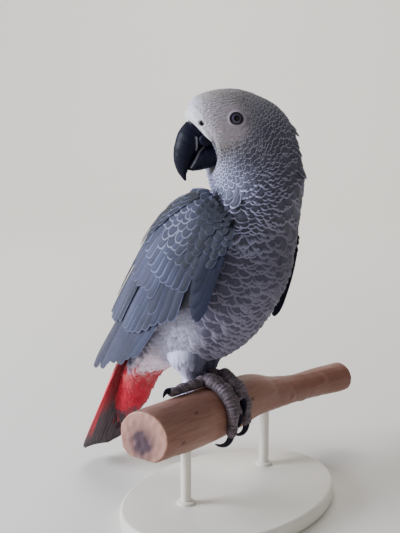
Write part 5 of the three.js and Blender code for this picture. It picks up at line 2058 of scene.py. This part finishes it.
class PARROT_OT_wings(bpy.types.Operator):
    """Lays the long feathers and the coverts of both folded wings"""

    bl_idname = "parrot.wings"
    bl_label = "Wings"

    def execute(self, context):
        settings, colours = context.scene.parrot_coat, context.scene.parrot_colours
        quill = plume_paint(
            "Flight feather", QUILL_VANE.tip, 0.05, 90, 0.35, 0.1, rough=0.5, under=0.6, streak=0.2
        )
        covert = plume_paint(
            "Covert feather", COVERT_VANE.tip, 0.10, 40, 0.12, 0.2, 0.05, 0.55, under=0.55, streak=0.25
        )
        make_wing(settings, colours, "right", quill, covert, 20)
        make_wing(settings, colours, "left", quill, covert, 30)
        return {"FINISHED"}


class PARROT_OT_tail(bpy.types.Operator):
    """Lays the fan of tail feathers"""

    bl_idname = "parrot.tail"
    bl_label = "Tail"

    def execute(self, context):
        colours = context.scene.parrot_colours
        make_tail(context.scene.parrot_coat, colours, tail_paint(colours.maroon))
        return {"FINISHED"}


class PARROT_OT_perch(bpy.types.Operator):
    """Makes the perch, the feet that grip it and the stand that holds it"""

    bl_idname = "parrot.perch"
    bl_label = "Perch, Feet and Stand"

    def execute(self, context):
        colours = context.scene.parrot_colours
        make_perch(colours)
        make_feet(colours)
        make_stand(colours)
        return {"FINISHED"}


OPERATORS = (
    PARROT_OT_stage, PARROT_OT_skin, PARROT_OT_head, PARROT_OT_coat, PARROT_OT_wings,
    PARROT_OT_tail, PARROT_OT_perch,
)
GROUPS = {
    "parrot_coat": ParrotCoatSettings,
    "parrot_colours": ParrotColourSettings,
    "parrot_stage": ParrotStageSettings,
}


class PARROT_PT_panel(bpy.types.Panel):
    """Lists the steps and the settings of the parrot"""

    bl_label = "Grey Parrot"
    bl_idname = "PARROT_PT_panel"
    bl_space_type = "VIEW_3D"
    bl_region_type = "UI"
    bl_category = "Parrot"

    def draw(self, context):
        for operator in OPERATORS:
            self.layout.operator(operator.bl_idname)
        for key, group in GROUPS.items():
            box = self.layout.box()
            for name in group.__annotations__:
                box.prop(getattr(context.scene, key), name)


def register():
    """Makes the settings, the steps and the panel known."""
    for group in GROUPS.values():
        bpy.utils.register_class(group)
    for key, group in GROUPS.items():
        setattr(bpy.types.Scene, key, bpy.props.PointerProperty(type=group))
    for cls in (*OPERATORS, PARROT_PT_panel):
        bpy.utils.register_class(cls)


def unregister():
    """Takes them away again, the last one first."""
    for cls in reversed((*OPERATORS, PARROT_PT_panel)):
        bpy.utils.unregister_class(cls)
    for key in GROUPS:
        delattr(bpy.types.Scene, key)
    for group in reversed(tuple(GROUPS.values())):
        bpy.utils.unregister_class(group)


def main():
    register()
    bpy.ops.parrot.stage()
    bpy.ops.parrot.skin()
    bpy.ops.parrot.head()
    bpy.ops.parrot.coat()
    bpy.ops.parrot.wings()
    bpy.ops.parrot.tail()
    bpy.ops.parrot.perch()


if __name__ == "__main__":
    main()
